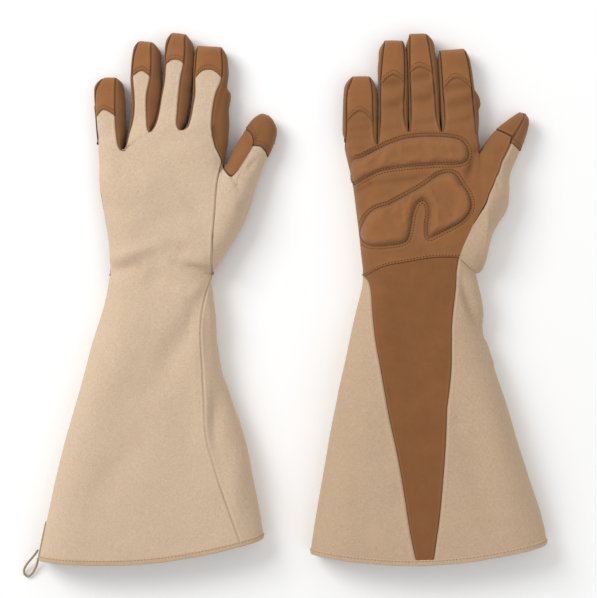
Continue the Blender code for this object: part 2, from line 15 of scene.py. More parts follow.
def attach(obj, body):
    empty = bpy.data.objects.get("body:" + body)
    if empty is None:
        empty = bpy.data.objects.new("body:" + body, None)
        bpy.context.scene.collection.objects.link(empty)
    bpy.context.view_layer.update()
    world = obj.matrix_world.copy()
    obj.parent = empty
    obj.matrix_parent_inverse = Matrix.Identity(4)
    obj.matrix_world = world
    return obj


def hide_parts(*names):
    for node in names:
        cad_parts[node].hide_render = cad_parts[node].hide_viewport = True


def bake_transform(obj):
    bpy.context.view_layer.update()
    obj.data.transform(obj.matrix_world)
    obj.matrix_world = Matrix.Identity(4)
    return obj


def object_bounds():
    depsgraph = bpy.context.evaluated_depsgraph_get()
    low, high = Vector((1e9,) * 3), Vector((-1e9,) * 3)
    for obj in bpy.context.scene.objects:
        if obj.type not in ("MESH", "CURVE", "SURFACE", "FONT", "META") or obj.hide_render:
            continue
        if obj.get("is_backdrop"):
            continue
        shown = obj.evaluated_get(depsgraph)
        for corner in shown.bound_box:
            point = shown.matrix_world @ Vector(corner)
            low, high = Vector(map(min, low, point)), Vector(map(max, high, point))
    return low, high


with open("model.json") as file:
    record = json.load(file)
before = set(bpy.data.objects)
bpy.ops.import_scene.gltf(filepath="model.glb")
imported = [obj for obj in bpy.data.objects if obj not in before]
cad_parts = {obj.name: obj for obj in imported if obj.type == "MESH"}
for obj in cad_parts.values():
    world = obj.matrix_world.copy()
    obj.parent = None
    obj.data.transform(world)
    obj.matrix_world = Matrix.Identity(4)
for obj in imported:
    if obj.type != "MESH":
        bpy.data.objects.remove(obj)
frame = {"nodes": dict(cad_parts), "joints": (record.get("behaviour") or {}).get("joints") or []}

bl_info = {
    "name": "Gauntlet Garden Gloves",
    "version": (1, 0, 0),
    "blender": (4, 5, 0),
    "location": "View3D > Sidebar > Gloves",
    "description": "Sews a pair of gauntlet gardening gloves round their jointed frame",
    "category": "Object",
}

MM = 0.001
CAD_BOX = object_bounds()
JOINTS = {joint["name"]: joint for joint in frame["joints"]}
FINGERS = ("pinky", "ring", "middle", "index")

SEAM_Z = 12.0            # side seams of the hand and cuff
FINGER_MID = 10.0        # height of a finger's widest line
FINGER_TOP = 19.5
KNUCKLE_TOP = 24.0
PALM_TOP = 30.0
WRIST_TOP = 34.0
CUFF_TOP = 37.0
HEM_TOP = 31.0
FLOOR_GAP = 0.5          # the cloth lies at least this far above the floor; stitches may still hang lower
CAP_SEAM_X = 75.5        # the right thumb cap is stitched only on its outer side, past this place
TIP_ROLL = 7.0           # length over which a fingertip closes
CHAMFER = 11.0           # length over which its sides come in to the flat tip

# ------------------------------------------------------------------ pattern of each glove
# Edges are (share, (x, y)): share runs from -1 at the hem through 0 at the wrist to 1 at the knuckles.
LEFT = {
    "name": "left", "palm_up": False,
    "outer": ((-1, (-97.2, -223.5)), (-0.88, (-91.8, -197.6)), (-0.63, (-78.8, -140)),
    (-0.41, (-64.4, -89.6)),
              (-0.24, (-54, -51.2)), (-0.1, (-44.6, -20.8)), (0, (-41.0, -1.2)), (0.2, (-41.0, 20.1)),
              (0.5, (-45.4, 50.2)), (0.76, (-49.3, 76.4)), (0.88, (-49.2, 88.4)), (1, (-49.6, 100.5))),
    "notch": ((-1, (82.2, -206.2)), (-0.9, (79.4, -190)), (-0.68, (69.2, -143)), (-0.45, (56.4, -95)),
              (-0.33, (48.2, -70)), (-0.22, (43.4, -44)), (-0.1, (44.4, -17)), (0, (41.2, 1.6))),
    "seam": ((-1, (64.5, -213)), (-0.88, (56.7, -188.8)), (-0.7, (43.9, -152)), (-0.58, (37.2, -126.4)),
             (-0.46, (35.9, -99.2)), (-0.34, (34.4, -74.4)), (-0.2, (33.2, -46.4)), (-0.08, (37.2, -17)),
             (0, (41.2, 1.6)), (0.1, (41.6, 11)), (0.2, (41.9, 22.3)), (0.45, (43.9, 50)), (0.7, (46.4, 78)),
             (0.79, (48.6, 87.5)), (0.82, (49.4, 91)), (0.87, (47.2, 97)), (0.92, (44.6, 102)),
             (1, (41.7, 111.6))),
    "knuckles": ((-49.6, 100.5), (-30, 99.5), (-8.2, 114.4), (16.2, 115.7), (41.7, 111.6)),
    "wrist_bow": ((0, 0), (1, 0)),
    "hem_bow": 9.0,
    "split": 0.80,
    "sections": (((51.6, 89.4), (60.2, 31)), ((53.0, 91.0), (70.3, 52)),
                 ((55.8, 97.0), (77.8, 77)), ((62, 108.4), (85.2, 94.4)), ((68.2, 118), (90.2, 105.4)),
                 ((73.4, 125.4), (92.8, 116.6)), ((78.2, 129.4), (90.2, 124.6)),
                 ((81.6, 130.6), (86.6, 129))),
    "hinge_end": 0.05,
    "thumb_back_edge": ((0, 0.45), (0.28, 1.95), (0.40, 2.75), (0.455, 3.45), (0.475, 4.2), (0.7, 4.42),
    (0.9, 4.3), (1, 4.1)),
    "thumb_leather_end": ((0, 5.0), (0.15, 4.95), (0.3, 4.8), (0.41, 4.55), (0.455, 4.3), (0.475, 4.2)),
    "leather_share": 0.475,
    "fingers": {
        "pinky": {
            "outer_low": ((0, -10.6), (12, -11.1), (22, -11.6), (43, -13.0), (60, -12.6)),
            "outer_high": ((0, 9.6), (10, 11.6), (18, 11.9), (40, 11.6), (60, 10.0)),
            "strip_low": ((-3, -10.2), (12, -10.7), (22, -11.2), (43, -11.6), (60, -8.0)),
            "strip_high": ((-3, 7.4), (2, 6.2), (9, 5.1), (18, 4.2), (26, 4.0), (60, 5.0)),
            "tip": (-5.2, 4.8), "cap": ((0, 25.6), (0.42, 31.0), (0.6, 30.0), (1, 25.8))},
        "ring": {
            "outer_low": ((0, -7.6), (12, -7.4), (20, -7.1), (31, -7.4), (42, -9.6), (57, -10.6),
            (73, -10.4), (82, -9.5)),
            "outer_high": ((6, 12.0), (14, 14.0), (30, 15.2), (41, 15.4), (54, 14.0), (73, 12.0), (82, 11)),
            "strip_low": ((-6, -7.4), (4, -6.6), (12, -5.2), (21, -4.5), (36, -5.9), (50, -8.4),
            (60, -8.9), (82, -6.5)),
            "strip_high": ((6, 8.2), (12, 7.0), (21, 5.6), (36, 4.4), (50, 5.8), (82, 3.8)),
            "tip": (-6.0, 4.6), "cap": ((0, 49.8), (0.48, 54.8), (1, 50.8))},
        "middle": {
            "outer_low": ((0, -9.6), (6, -8.6), (14, -7.9), (29, -7.7), (41, -7.5), (57, -9.0),
            (72, -10.0), (82, -9)),
            "outer_high": ((3, 14.6), (10, 15.4), (30, 15.6), (60, 14.8), (76, 11.8), (82, 10)),
            "strip_low": ((0, -9.2), (6, -7.9), (14, -7.3), (29, -6.8), (41, -6.3), (53, -7.2), (60, -8.0),
            (82, -6)),
            "strip_high": ((3, 9.4), (7, 8.4), (16, 7.5), (31, 6.7), (45, 6.4), (56, 7.2), (82, 4.8)),
            "tip": (-5.6, 5.6), "cap": ((0, 52.7), (0.25, 56.5), (0.55, 58.0), (0.8, 57.4), (1, 55.4))},
        "index": {
            "outer_low": ((0, -15.0), (5, -14.6), (19, -13.2), (29, -12.6), (42, -13.4), (60, -13.6),
            (72, -12.8)),
            "outer_high": ((0, 13.6), (30, 14.4), (46, 14.8), (60, 13.6), (72, 11)),
            "strip_low": ((0, -14.2), (5, -13.6), (12, -12.6), (19, -12.0), (29, -10.8), (42, -11.5),
            (72, -11.6)),
            "strip_high": ((-12, 9.2), (-3, 5.6), (4, 4.5), (10, 4.2), (24, 4.9), (32, 6.4), (37, 8.2),
            (40, 9.3), (44, 9.8), (72, 7.7)),
            "tip": (-11.4, 7.9), "cap": ((0, 41.7), (0.19, 46.8), (0.45, 49.4), (0.72, 48.4), (1, 43.9))}},
    "wall": ((0, (50.4, 89.8)), (0.1, (51.4, 93)), (0.25, (52.4, 100)), (0.4, (54.4, 108)),
    (0.55, (54.8, 117)),
             (0.72, (54.4, 131)), (0.9, (55.8, 146)), (1, (52.6, 151))),
}
RIGHT = {
    "name": "right", "palm_up": True,
    "outer": ((-1, (-85.2, -221)), (-0.88, (-82.0, -200)), (-0.68, (-74, -153)), (-0.5, (-67.4, -116)),
              (-0.33, (-58.8, -76.4)), (-0.16, (-50.4, -36.4)), (-0.05, (-44.0, -10)), (0, (-43.6, -4)),
              (0.2, (-45.2, 16)), (0.5, (-48.6, 46.5)), (0.8, (-53.4, 78.6)), (0.9, (-56.2, 90)),
              (1, (-58.2, 99))),
    "notch": ((-1, (103.6, -213.4)), (-0.9, (99.4, -196)), (-0.69, (85.2, -152.4)), (-0.53, (74.8, -118)),
              (-0.34, (61.4, -76.4)), (-0.22, (52.0, -47)), (-0.08, (49.6, -17)), (0, (46.8, -0.4))),
    "seam": ((0, (32.0, 11.6)), (0.03, (33.4, 15.3)), (0.1, (36, 22)), (0.2, (41.5, 34)),
             (0.3, (45.2, 44.5)), (0.45, (46.4, 58)), (0.7, (47.3, 80)), (0.8, (48.0, 92)),
             (0.84, (48.4, 96.4)),
             (0.92, (47.6, 102.6)), (1, (46.6, 110.5))),
    "knuckles": ((-58.2, 99), (-32.4, 101.6), (-7.1, 111.8), (18.8, 111.6), (46.6, 110.5)),
    "wrist_bow": ((0, 0), (0.18, 4.5), (0.46, 4.8), (0.745, 3.7), (1, 0)),
    "hem_bow": 11.0,
    "split": 0.84,
    "sections": (((49.6, 97.2), (60.5, 31)), ((51.2, 99.4), (72.6, 52.5)),
                 ((54.4, 104), (74.2, 77)), ((59, 110.2), (80.4, 92.6)), ((63.6, 114.6), (84.8, 103.6)),
                 ((70.4, 120.4), (88.8, 115)), ((77.4, 125.8), (89.6, 122.6)),
                 ((82.2, 128.8), (87.2, 127.6))),
    "hinge_end": 0.32,
    "leather_strip": ((0, 0.72), (0.05, 0.64), (0.1, 0.58), (0.2, 0.51), (0.35, 0.455), (0.5, 0.45),
    (0.9, 0.55),
                      (1.2, 0.54), (2, 0.50), (2.8, 0.60), (3.4, 0.64), (4.2, 0.63), (4.8, 0.58), (5, 0.57)),
    "fingers": {
        "pinky": {
            "outer_low": ((-3, -12.6), (2, -13.4), (23, -14.3), (43, -13.7), (60, -12)),
            "outer_high": ((3, 13.2), (12, 13.8), (29, 13.9), (46, 12.9), (60, 10)),
            "strip_low": ((-3, -12.2), (2, -12.6), (12, -11.6), (23, -11.2), (43, -11.0), (60, -7)),
            "strip_high": ((3, 12.0), (10, 10.6), (23, 9.8), (47, 8.9), (60, 7)),
            "tip": (-6.6, 7.2), "cap": ((0, 22.0), (0.49, 30.0), (1, 22.0))},
        "ring": {
            "outer_low": ((0, -12.2), (20, -12.0), (43, -11.9), (69, -11.9), (82, -9)),
            "outer_high": ((6, 12.2), (20, 12.4), (46, 12.0), (75, 10.2), (82, 9)),
            "strip_low": ((0, -11.4), (10, -10.6), (43, -10.3), (82, -7.6)),
            "strip_high": ((6, 11.0), (12, 9.6), (46, 8.9), (72, 8.2), (82, 7.2)),
            "tip": (-7.2, 7.4), "cap": ((0, 44.5), (0.46, 51.6), (1, 46.0))},
        "middle": {
            "outer_low": ((0, -12.0), (20, -12.0), (50, -11.9), (75, -11.6), (82, -10)),
            "outer_high": ((0, 13.0), (20, 13.4), (58, 12.4), (73, 9.8), (82, 8)),
            "strip_low": ((0, -11.6), (10, -10.6), (48, -10.2), (82, -9.4)),
            "strip_high": ((0, 12.2), (10, 10.4), (30, 9.2), (48, 7.8), (82, 3.8)),
            "tip": (-9.3, 3.7), "cap": ((0, 48.3), (0.38, 52.3), (1, 47.4))},
        "index": {
            "outer_low": ((0, -14.4), (5, -14.4), (30, -13.6), (60, -12.6), (72, -11)),
            "outer_high": ((0, 14.2), (15, 14.6), (30, 14.8), (49, 14.5), (60, 12.8), (72, 11)),
            "strip_low": ((0, -13.6), (8, -12.0), (36, -10.6), (72, -10.2)),
            "strip_high": ((-12, 11.6), (0, 12.4), (15, 12.6), (28, 12.4), (35, 12.2), (50, 11.6), (72, 9.2)),
            "tip": (-10.2, 9.2), "cap": ((0, 36.2), (0.42, 43.6), (1, 35.0))}},
    "wall": ((0, (48.6, 97.0)), (0.12, (49.8, 99.0)), (0.3, (49.4, 106)), (0.5, (49.4, 118)),
    (0.7, (49.2, 130)),
             (0.84, (50.8, 135.6)), (0.93, (49.4, 141)), (1, (45.6, 146))),
}

STRIPE_LOW = ((-1, 0.44), (-0.965, 0.432), (-0.71, 0.38), (-0.53, 0.326), (-0.3, 0.22), (-0.12, 0.105),
              (-0.03, 0.03), (0, 0.008))
STRIPE_HIGH = ((-1, 0.515), (-0.9, 0.534), (-0.69, 0.589), (-0.46, 0.647), (-0.24, 0.748), (-0.05, 0.80),
        (0, 0.83))

UPPER_CUSHION = (
    (-52.7, 71.5), (-42, 76), (-28.7, 82), (-8.7, 84.9), (12.7, 86.6), (31, 87), (37.5, 89.8), (39, 95.5),
    (36.7, 101.6), (30, 105.8), (12.7, 107.6), (-8.7, 106.2), (-22, 102), (-33, 97), (-44.7, 91),
    (-52.6, 87.5))
HEEL_CUSHION = (
    (-45.2, 30), (-44, 37.5), (-40, 45), (-33.3, 50.2), (-24, 53), (-15.3, 57.5), (0.7, 66.3), (10, 72.5),
    (16.7, 77),
    (23.3, 78.6), (29, 76.6), (34, 69), (38.7, 62), (40.7, 54), (38.7, 47.3), (32.7, 40.9), (23.3, 35.6),
    (12.9, 30.4),
    (8.4, 28.6), (7.6, 36.7), (9.0, 47.3), (7.3, 55), (3.3, 58), (-1.8, 55.3), (-5.3, 47.3), (-7.2, 36.7),
    (-9, 28.7),
    (-12.5, 24.6), (-22, 22.7), (-35.3, 22), (-42, 24.4))


# ------------------------------------------------------------------ small maths

def curve(table, share):
    """Smooth reading of a table of (share, value) pairs, values numbers or points; share may be an array."""
    keys = np.array([key for key, _ in table], float)
    values = np.array([value for _, value in table], float)
    if len(keys) == 2:
        slopes = np.repeat((values[1:] - values[:1]) / (keys[1] - keys[0]), 2, axis=0)
    else:
        steps = np.diff(keys)
        rates = np.diff(values, axis=0) / (steps if values.ndim == 1 else steps[:, None])
        slopes = np.empty_like(values)
        slopes[0], slopes[-1] = rates[0], rates[-1]
        before, after = steps[:-1], steps[1:]
        if values.ndim > 1:
            before, after = before[:, None], after[:, None]
        slopes[1:-1] = (rates[:-1] * after + rates[1:] * before) / (before + after)
    x = np.clip(np.asarray(share, float), keys[0], keys[-1])
    place = np.clip(np.searchsorted(keys, x, side="right") - 1, 0, len(keys) - 2)
    width = keys[place + 1] - keys[place]
    t = (x - keys[place]) / width
    if values.ndim > 1:
        t, width = t[..., None], width[..., None]
    start, end = values[place], values[place + 1]
    return ((2 * t ** 3 - 3 * t ** 2 + 1) * start + (t ** 3 - 2 * t ** 2 + t) * width * slopes[place]
            + (3 * t ** 2 - 2 * t ** 3) * end + (t ** 3 - t ** 2) * width * slopes[place + 1])


def straight(table, share):
    return np.interp(share, [key for key, _ in table], [value for _, value in table])


def ease(value):
    value = np.clip(value, 0, 1)
    return value * value * (3 - 2 * value)


def bell(distance, width):
    return np.exp(-(distance / width) ** 2)


def packed(count, ends="both", power=1.8):
    """Shares from 0 to 1, closer together towards the ends named."""
    t = np.linspace(0, 1, count)
    if ends == "both":
        return np.where(t < 0.5, 0.5 * (2 * t) ** power, 1 - 0.5 * (2 - 2 * t) ** power)
    if ends == "low":
        return t ** power
    return 1 - (1 - t) ** power


def shoulder(distance, radius, power=2.4):
    """Height of a stuffed edge, from 0 at its seam to 1 a radius inside it."""
    away = np.clip(1 - distance / radius, 0, 1)
    return np.sqrt(np.clip(1 - away ** power, 0, 1))


def segment_distance(x, y, start, end):
    """Distance of points to a segment in plan, and how far along it they are."""
    run = np.subtract(end, start)
    along = np.clip(((x - start[0]) * run[0] + (y - start[1]) * run[1]) / (run @ run), 0, 1)
    return np.hypot(x - start[0] - along * run[0], y - start[1] - along * run[1]), along


def smooth_loop(corners, steps=6):
    """Closed smooth outline through corners."""
    corners = np.array(corners, float)
    out = []
    count = len(corners)
    for i in range(count):
        a, b, c, d = (corners[(i + k - 1) % count] for k in range(4))
        for step in range(steps):
            t = step / steps
            out.append(0.5 * (2 * b + (c - a) * t + (2 * a - 5 * b + 4 * c - d) * t ** 2
                    + (3 * b - a - 3 * c + d) * t ** 3))
    return np.array(out)


def outline_distance(x, y, outline):
    """Signed distance to a closed outline, positive inside."""
    best = np.full(np.shape(x), 1e9)
    inside = np.zeros(np.shape(x), bool)
    for start, end in zip(outline, np.roll(outline, -1, axis=0)):
        near, _ = segment_distance(x, y, start, end)
        best = np.minimum(best, near)
        crosses = (start[1] > y) != (end[1] > y)
        rise = end[1] - start[1]
        at = start[0] + (end[0] - start[0]) * (y - start[1]) / (rise if abs(rise) > 1e-9 else 1e-9)
        inside ^= crosses & (x < at)
    return np.where(inside, best, -best)


# ------------------------------------------------------------------ the glove's skin

class Glove:
    """One glove's shape: plan positions and heights of its skin in its own frame, in millimetres."""

    def __init__(self, pattern):
        self.pattern = pattern
        self.name = pattern["name"]
        self.palm_up = pattern["palm_up"]
        wrist = JOINTS[f"{self.name}_wrist_flex"]
        self.place = np.array(wrist["pos_m"][:2]) / MM
        axis = np.array(wrist["axis"][:2])
        self.wrist_run = axis * np.sign(axis[0])
        self.fingers = {name: Finger(self, name, place) for place, name in enumerate(FINGERS)}

    def world(self, points):
        """Row frame metres from glove millimetres."""
        points = np.array(points, float)
        points[..., 0] += self.place[0]
        points[..., 1] += self.place[1]
        return points * MM

    def spot(self, x, y, z=0.0):
        return tuple(float(c) for c in self.world(np.array([x, y, z])))

    def height(self, t):
        return curve(((-1, HEM_TOP), (-0.5, CUFF_TOP), (-0.2, WRIST_TOP + 1), (0, WRIST_TOP - 2),
                (0.3, PALM_TOP),
                      (0.75, PALM_TOP - 2.5), (1, KNUCKLE_TOP)), t)

    def base(self, t):
        """The sheet that lies on the floor; a glove lying palm down stands on its pads."""
        return straight(((-1, 0), (-0.1, 0), (0.1, 0 if self.palm_up else 3.4),
                (1, 0 if self.palm_up else 3.4)), t)

    # ---- cuff
    def cuff(self, t, share, top):
        """A point at a share of the full width of the cuff, from its outer edge to its thumb edge."""
        t, share = np.broadcast_arrays(np.asarray(t, float), np.asarray(share, float))
        low, high = curve(self.pattern["outer"], t), curve(self.pattern["notch"], t)
        plan = low + (high - low) * share[..., None]
        plan[..., 1] -= self.pattern["hem_bow"] * t ** 2 * np.sin(math.pi * share)
        low0, high0 = self.end("outer"), self.end("notch")
        corner = self.corner_share()
        along_hand = self.hand(np.zeros_like(share), np.clip(share / corner, 0, 1), top)[..., :2]
        beyond = np.clip((share - corner) / max(1 - corner, 1e-6), 0, 1)[..., None]
        row = np.where(share[..., None] <= corner, along_hand,
                self.end("seam") * (1 - beyond) + high0 * beyond)
        plan = plan + (row - (low0 + (high0 - low0) * share[..., None])) * ease(1 + t / 0.25)[..., None]
        width = np.hypot(high[..., 0] - low[..., 0], high[..., 1] - low[..., 1])
        near, far = share * width, (1 - share) * width
        if top:
            z = SEAM_Z + (self.height(t) - SEAM_Z) * shoulder(near, 34) * shoulder(far, 34)
        else:
            z = SEAM_Z - (SEAM_Z - self.base(t)) * shoulder(near, 13) * shoulder(far, 13)
        return np.concatenate([plan, z[..., None]], -1)

    def end(self, edge):
        """Where an edge crosses the wrist."""
        return curve(self.pattern[edge], np.zeros(1))[0]

    def corner_share(self):
        """Share of the wrist's width at which the hand's thumb-side seam meets it."""
        low, high, seam = self.end("outer"), self.end("notch"), self.end("seam")
        return float((seam[0] - low[0]) / (high[0] - low[0]))

    def back_seam(self, t):
        """Where the seam on the back of the cuff lies, as a share of the width."""
        if self.palm_up:
            return straight(((-1, 0.89), (-0.4, 0.84), (0, self.corner_share())), t)
        low, high = curve(self.pattern["outer"], t), curve(self.pattern["notch"], t)
        run = high - low
        return np.clip(((curve(self.pattern["seam"], t) - low) * run).sum(-1) / (run * run).sum(-1), 0, 1)

    # ---- hand
    def seam_rise(self, t):
        """Height share of the shell along the hand's thumb-side seam."""
        if self.palm_up:
            table = ((0, 0.927), (0.1, 0.94), (0.3, 0.98), (0.55, 0.97), (0.72, 0.88), (0.8, 0.66),
                    (0.84, 0.5),
                     (0.9, 0.62), (1, 0.74))
        else:
            table = ((0, 0.0), (0.03, 0.42), (0.07, 0.68), (0.15, 0.92), (0.5, 0.97), (0.68, 0.9),
                    (0.77, 0.68),
                     (0.82, 0.5), (0.87, 0.66), (1, 0.8))
        return straight(table, t)

    def hand(self, t, u, top):
        """A point of the hand's skin, u from its outer edge to its thumb-side seam."""
        t, u = np.broadcast_arrays(np.asarray(t, float), np.asarray(u, float))
        low, high = curve(self.pattern["outer"], t), curve(self.pattern["seam"], t)
        plan = low + (high - low) * u[..., None]
        roots = np.array(self.pattern["knuckles"])
        stops = (roots[:, 0] - roots[0, 0]) / (roots[-1, 0] - roots[0, 0])
        row = np.stack([np.interp(u, stops, roots[:, 0]), np.interp(u, stops, roots[:, 1])], -1)
        level = roots[0] + (roots[-1] - roots[0]) * u[..., None]
        plan = plan + (row - level) * ease((t - 0.72) / 0.28)[..., None]
        plan[..., 1] += curve(self.pattern["wrist_bow"], u) * ease(1 - t / 0.3)
        width = np.hypot(high[..., 0] - low[..., 0], high[..., 1] - low[..., 1])
        near, far = u * width, (1 - u) * width
        rise = self.seam_rise(t)
        if top:
            away = np.clip(1 - far / straight(((0, 34), (0.15, 26), (1, 24)), t), 0, 1)
            fall = np.sqrt(1 - (1 - rise ** 2) * away ** 2.4)
            edge = shoulder(near, straight(((0, 34), (0.2, 24), (1, 16)), t))
            z = SEAM_Z + (self.height(t) - SEAM_Z) * edge * fall
        else:
            fall = np.sqrt(1 - (1 - rise) * np.clip(1 - far / 13, 0, 1) ** 2.4)
            z = SEAM_Z - (SEAM_Z - self.base(t)) * shoulder(near, 13) * fall
        return np.concatenate([plan, z[..., None]], -1)

    # ---- thumb
    def thumb(self, k, s, top):
        """A point of the thumb's skin: k counts sections from the hand, s runs inner to outer edge."""
        k, s = np.broadcast_arrays(np.asarray(k, float), np.asarray(s, float))
        sections, split, end = self.pattern["sections"], self.pattern["split"], self.pattern["hinge_end"]
        first, last = curve(self.pattern["seam"], np.array([split, 0.0]))
        notch = self.end("notch")
        inner = curve([(0, tuple(first)), *((i, pair[0]) for i, pair in enumerate(sections, 1))], k)
        rim = curve([(0, tuple(last)), (end, tuple(notch)),
                *((i, pair[1]) for i, pair in enumerate(sections, 1))], k)
        t = split * (1 - s)
        bow = curve(self.pattern["seam"], t) - (first + (last - first) * s[..., None])
        plan = inner + (rim - inner) * s[..., None] + bow * (1 - ease(k))[..., None]
        peak = curve(((0, PALM_TOP), (1, 29.5), (2, 28), (3, 25), (4, 22), (5, 20), (6, 18.6), (7, 16),
                (8, 9.5)), k)
        mid = curve(((0, SEAM_Z), (3, 11), (5, 9.5), (8, 9.2)), k)
        sole = curve(((0, 3.0), (2, 1.5), (4, 0), (6, 0.4), (7, 2), (8, 9.0)), k)
        near = ease(k / 0.6)
        start = self.seam_rise(t)
        at_wrist = self.seam_rise(np.zeros_like(t)) * (1 - near)
        gap = np.where(k < end, np.hypot(rim[..., 0] - notch[0], rim[..., 1] - notch[1]), 0.0)
        if top:
            dome = np.sqrt(np.clip(1 - np.abs(2 * s - 1) ** 2.6, 0, 1))
            share = start * (1 - near) + dome * near + (shoulder(gap, 34) - at_wrist) * s ** 8
            level = self.height(t) * (1 - near) + peak * near
        else:
            dome = np.sqrt(np.clip(1 - np.abs(2 * s - 1) ** 4, 0, 1))
            share = np.sqrt(start) * (1 - near) + dome * near + (shoulder(gap, 13)
                    - np.sqrt(at_wrist)) * s ** 8
            level = self.base(t) * (1 - near) + sole * near
        z = mid + (level - mid) * np.clip(share, 0, 1)
        return np.concatenate([plan, z[..., None]], -1)


class Finger:
    """One finger's shape. s is the way along it and off the way across it, from its joint."""

    def __init__(self, glove, name, place):
        self.glove, self.name = glove, name
        self.pattern = glove.pattern["fingers"][name]
        joint = JOINTS[f"{glove.name}_{name}_flex"]
        self.root = np.array(joint["pos_m"][:2]) / MM - glove.place
        axis = np.array(joint["axis"][:2])
        self.side = axis * np.sign(axis[0])
        self.up = np.array([-self.side[1], self.side[0]])
        roots = np.array(glove.pattern["knuckles"])
        self.low_root, self.high_root = self.local(roots[place]), self.local(roots[place + 1])
        node = frame["nodes"][f"{glove.name}_{name}_tip_cap"]
        reach = [np.array(v.co[:2]) / MM - glove.place - self.root for v in node.data.vertices]
        self.length = max(float(r @ self.up) for r in reach)
        self.crotches = (place > 0, place < 3)

    def local(self, point):
        gap = np.asarray(point, float) - self.root
        return float(gap @ self.up), float(gap @ self.side)

    def plan(self, s, off):
        return self.root + np.asarray(s)[..., None] * self.up + np.asarray(off)[..., None] * self.side

    def edge(self, which, side, s):
        """Offset of a strip edge or outline at s. Between fingers it leaves the crotch sideways."""
        s = np.asarray(s, float)
        off = curve(self.pattern[f"{which}_{side}"], s)
        start, corner = self.low_root if side == "low" else self.high_root
        span = {"strip": 6.0, "outer": 10.0}[which]
        q = np.clip((s - start) / span, 0, 1)
        bend = 1 - np.sqrt(np.clip(1 - (1 - q) ** 2, 0, 1)) if self.crotches[side == "high"] else 1 - ease(q)
        off = off * (1 - bend) + corner * bend
        tip = self.pattern["tip"][0 if side == "low" else 1]
        q = np.clip((s - (self.length - CHAMFER)) / CHAMFER, 0, 1)
        pull = q ** 2.6 if which == "outer" else q ** 1.6
        return off * (1 - pull) + tip * pull

    def crown(self, s, off):
        """Share of the finger's half height at a place across it."""
        low, high = self.edge("outer", "low", s), self.edge("outer", "high", s)
        across = np.abs((off - (low + high) / 2) / np.maximum((high - low) / 2, 0.5))
        return (1 - np.clip(across, 0, 0.985) ** 3) ** (1 / 3)

    def closing(self, s):
        q = np.clip((s - (self.length - TIP_ROLL)) / TIP_ROLL, 0, 1)
        return np.sqrt(np.clip(1 - q ** 2.6, 0, 1))

    def skin(self, s, off, top):
        """Height of the upper or lower strips, blended into the hand's height at the knuckles."""
        s, off = np.asarray(s, float), np.asarray(off, float)
        start = self.low_root[0] + (self.high_root[0]
                - self.low_root[0]) * np.clip((off - self.low_root[1]) / (self.high_root[1]
                - self.low_root[1]), 0, 1)
        near = 1 - ease((s - start) / 20)
        if top:
            tube = FINGER_MID + (FINGER_TOP - FINGER_MID) * self.crown(s, off) * self.closing(s)
            return tube * (1 - near) + self.hand_height(s, off, True) * near
        tube = FINGER_MID - FINGER_MID * np.sqrt(self.crown(s, off)) * self.closing(s)
        return tube * (1 - near) + self.hand_height(s, off, False) * near

    def hand_height(self, s, off, top):
        """Height of the hand's skin at the knuckle line, carried straight on."""
        glove = self.glove
        x = self.plan(s, off)[..., 0]
        roots = np.array(glove.pattern["knuckles"])
        u = np.clip((x - roots[0, 0]) / (roots[-1, 0] - roots[0, 0]), 0, 1)
        return glove.hand(np.ones_like(u), u, top)[..., 2]


GLOVES = {"left": Glove(LEFT), "right": Glove(RIGHT)}


# ------------------------------------------------------------------ shader expressions

class Value:
    """A socket that Python's operators work on."""

    def __init__(self, cloth, socket):
        self.cloth, self.socket = cloth, socket

    def math(self, operation, first, second):
        return self.cloth.node("ShaderNodeMath", {"operation": operation}, {0: first, 1: second}).out("Value")

    def __add__(self, other):
        return self.math("ADD", self, other)

    def __radd__(self, other):
        return self.math("ADD", other, self)

    def __sub__(self, other):
        return self.math("SUBTRACT", self, other)

    def __rsub__(self, other):
        return self.math("SUBTRACT", other, self)

    def __mul__(self, other):
        return self.math("MULTIPLY", self, other)

    def __rmul__(self, other):
        return self.math("MULTIPLY", other, self)

    def at_least(self, other):
        return self.math("MAXIMUM", self, other)

    def at_most(self, other):
        return self.math("MINIMUM", self, other)


class Node:
    """A shader node whose outputs come as values."""

    def __init__(self, cloth, node):
        self.cloth, self.node = cloth, node

    def out(self, name):
        return Value(self.cloth, self.node.outputs[name])


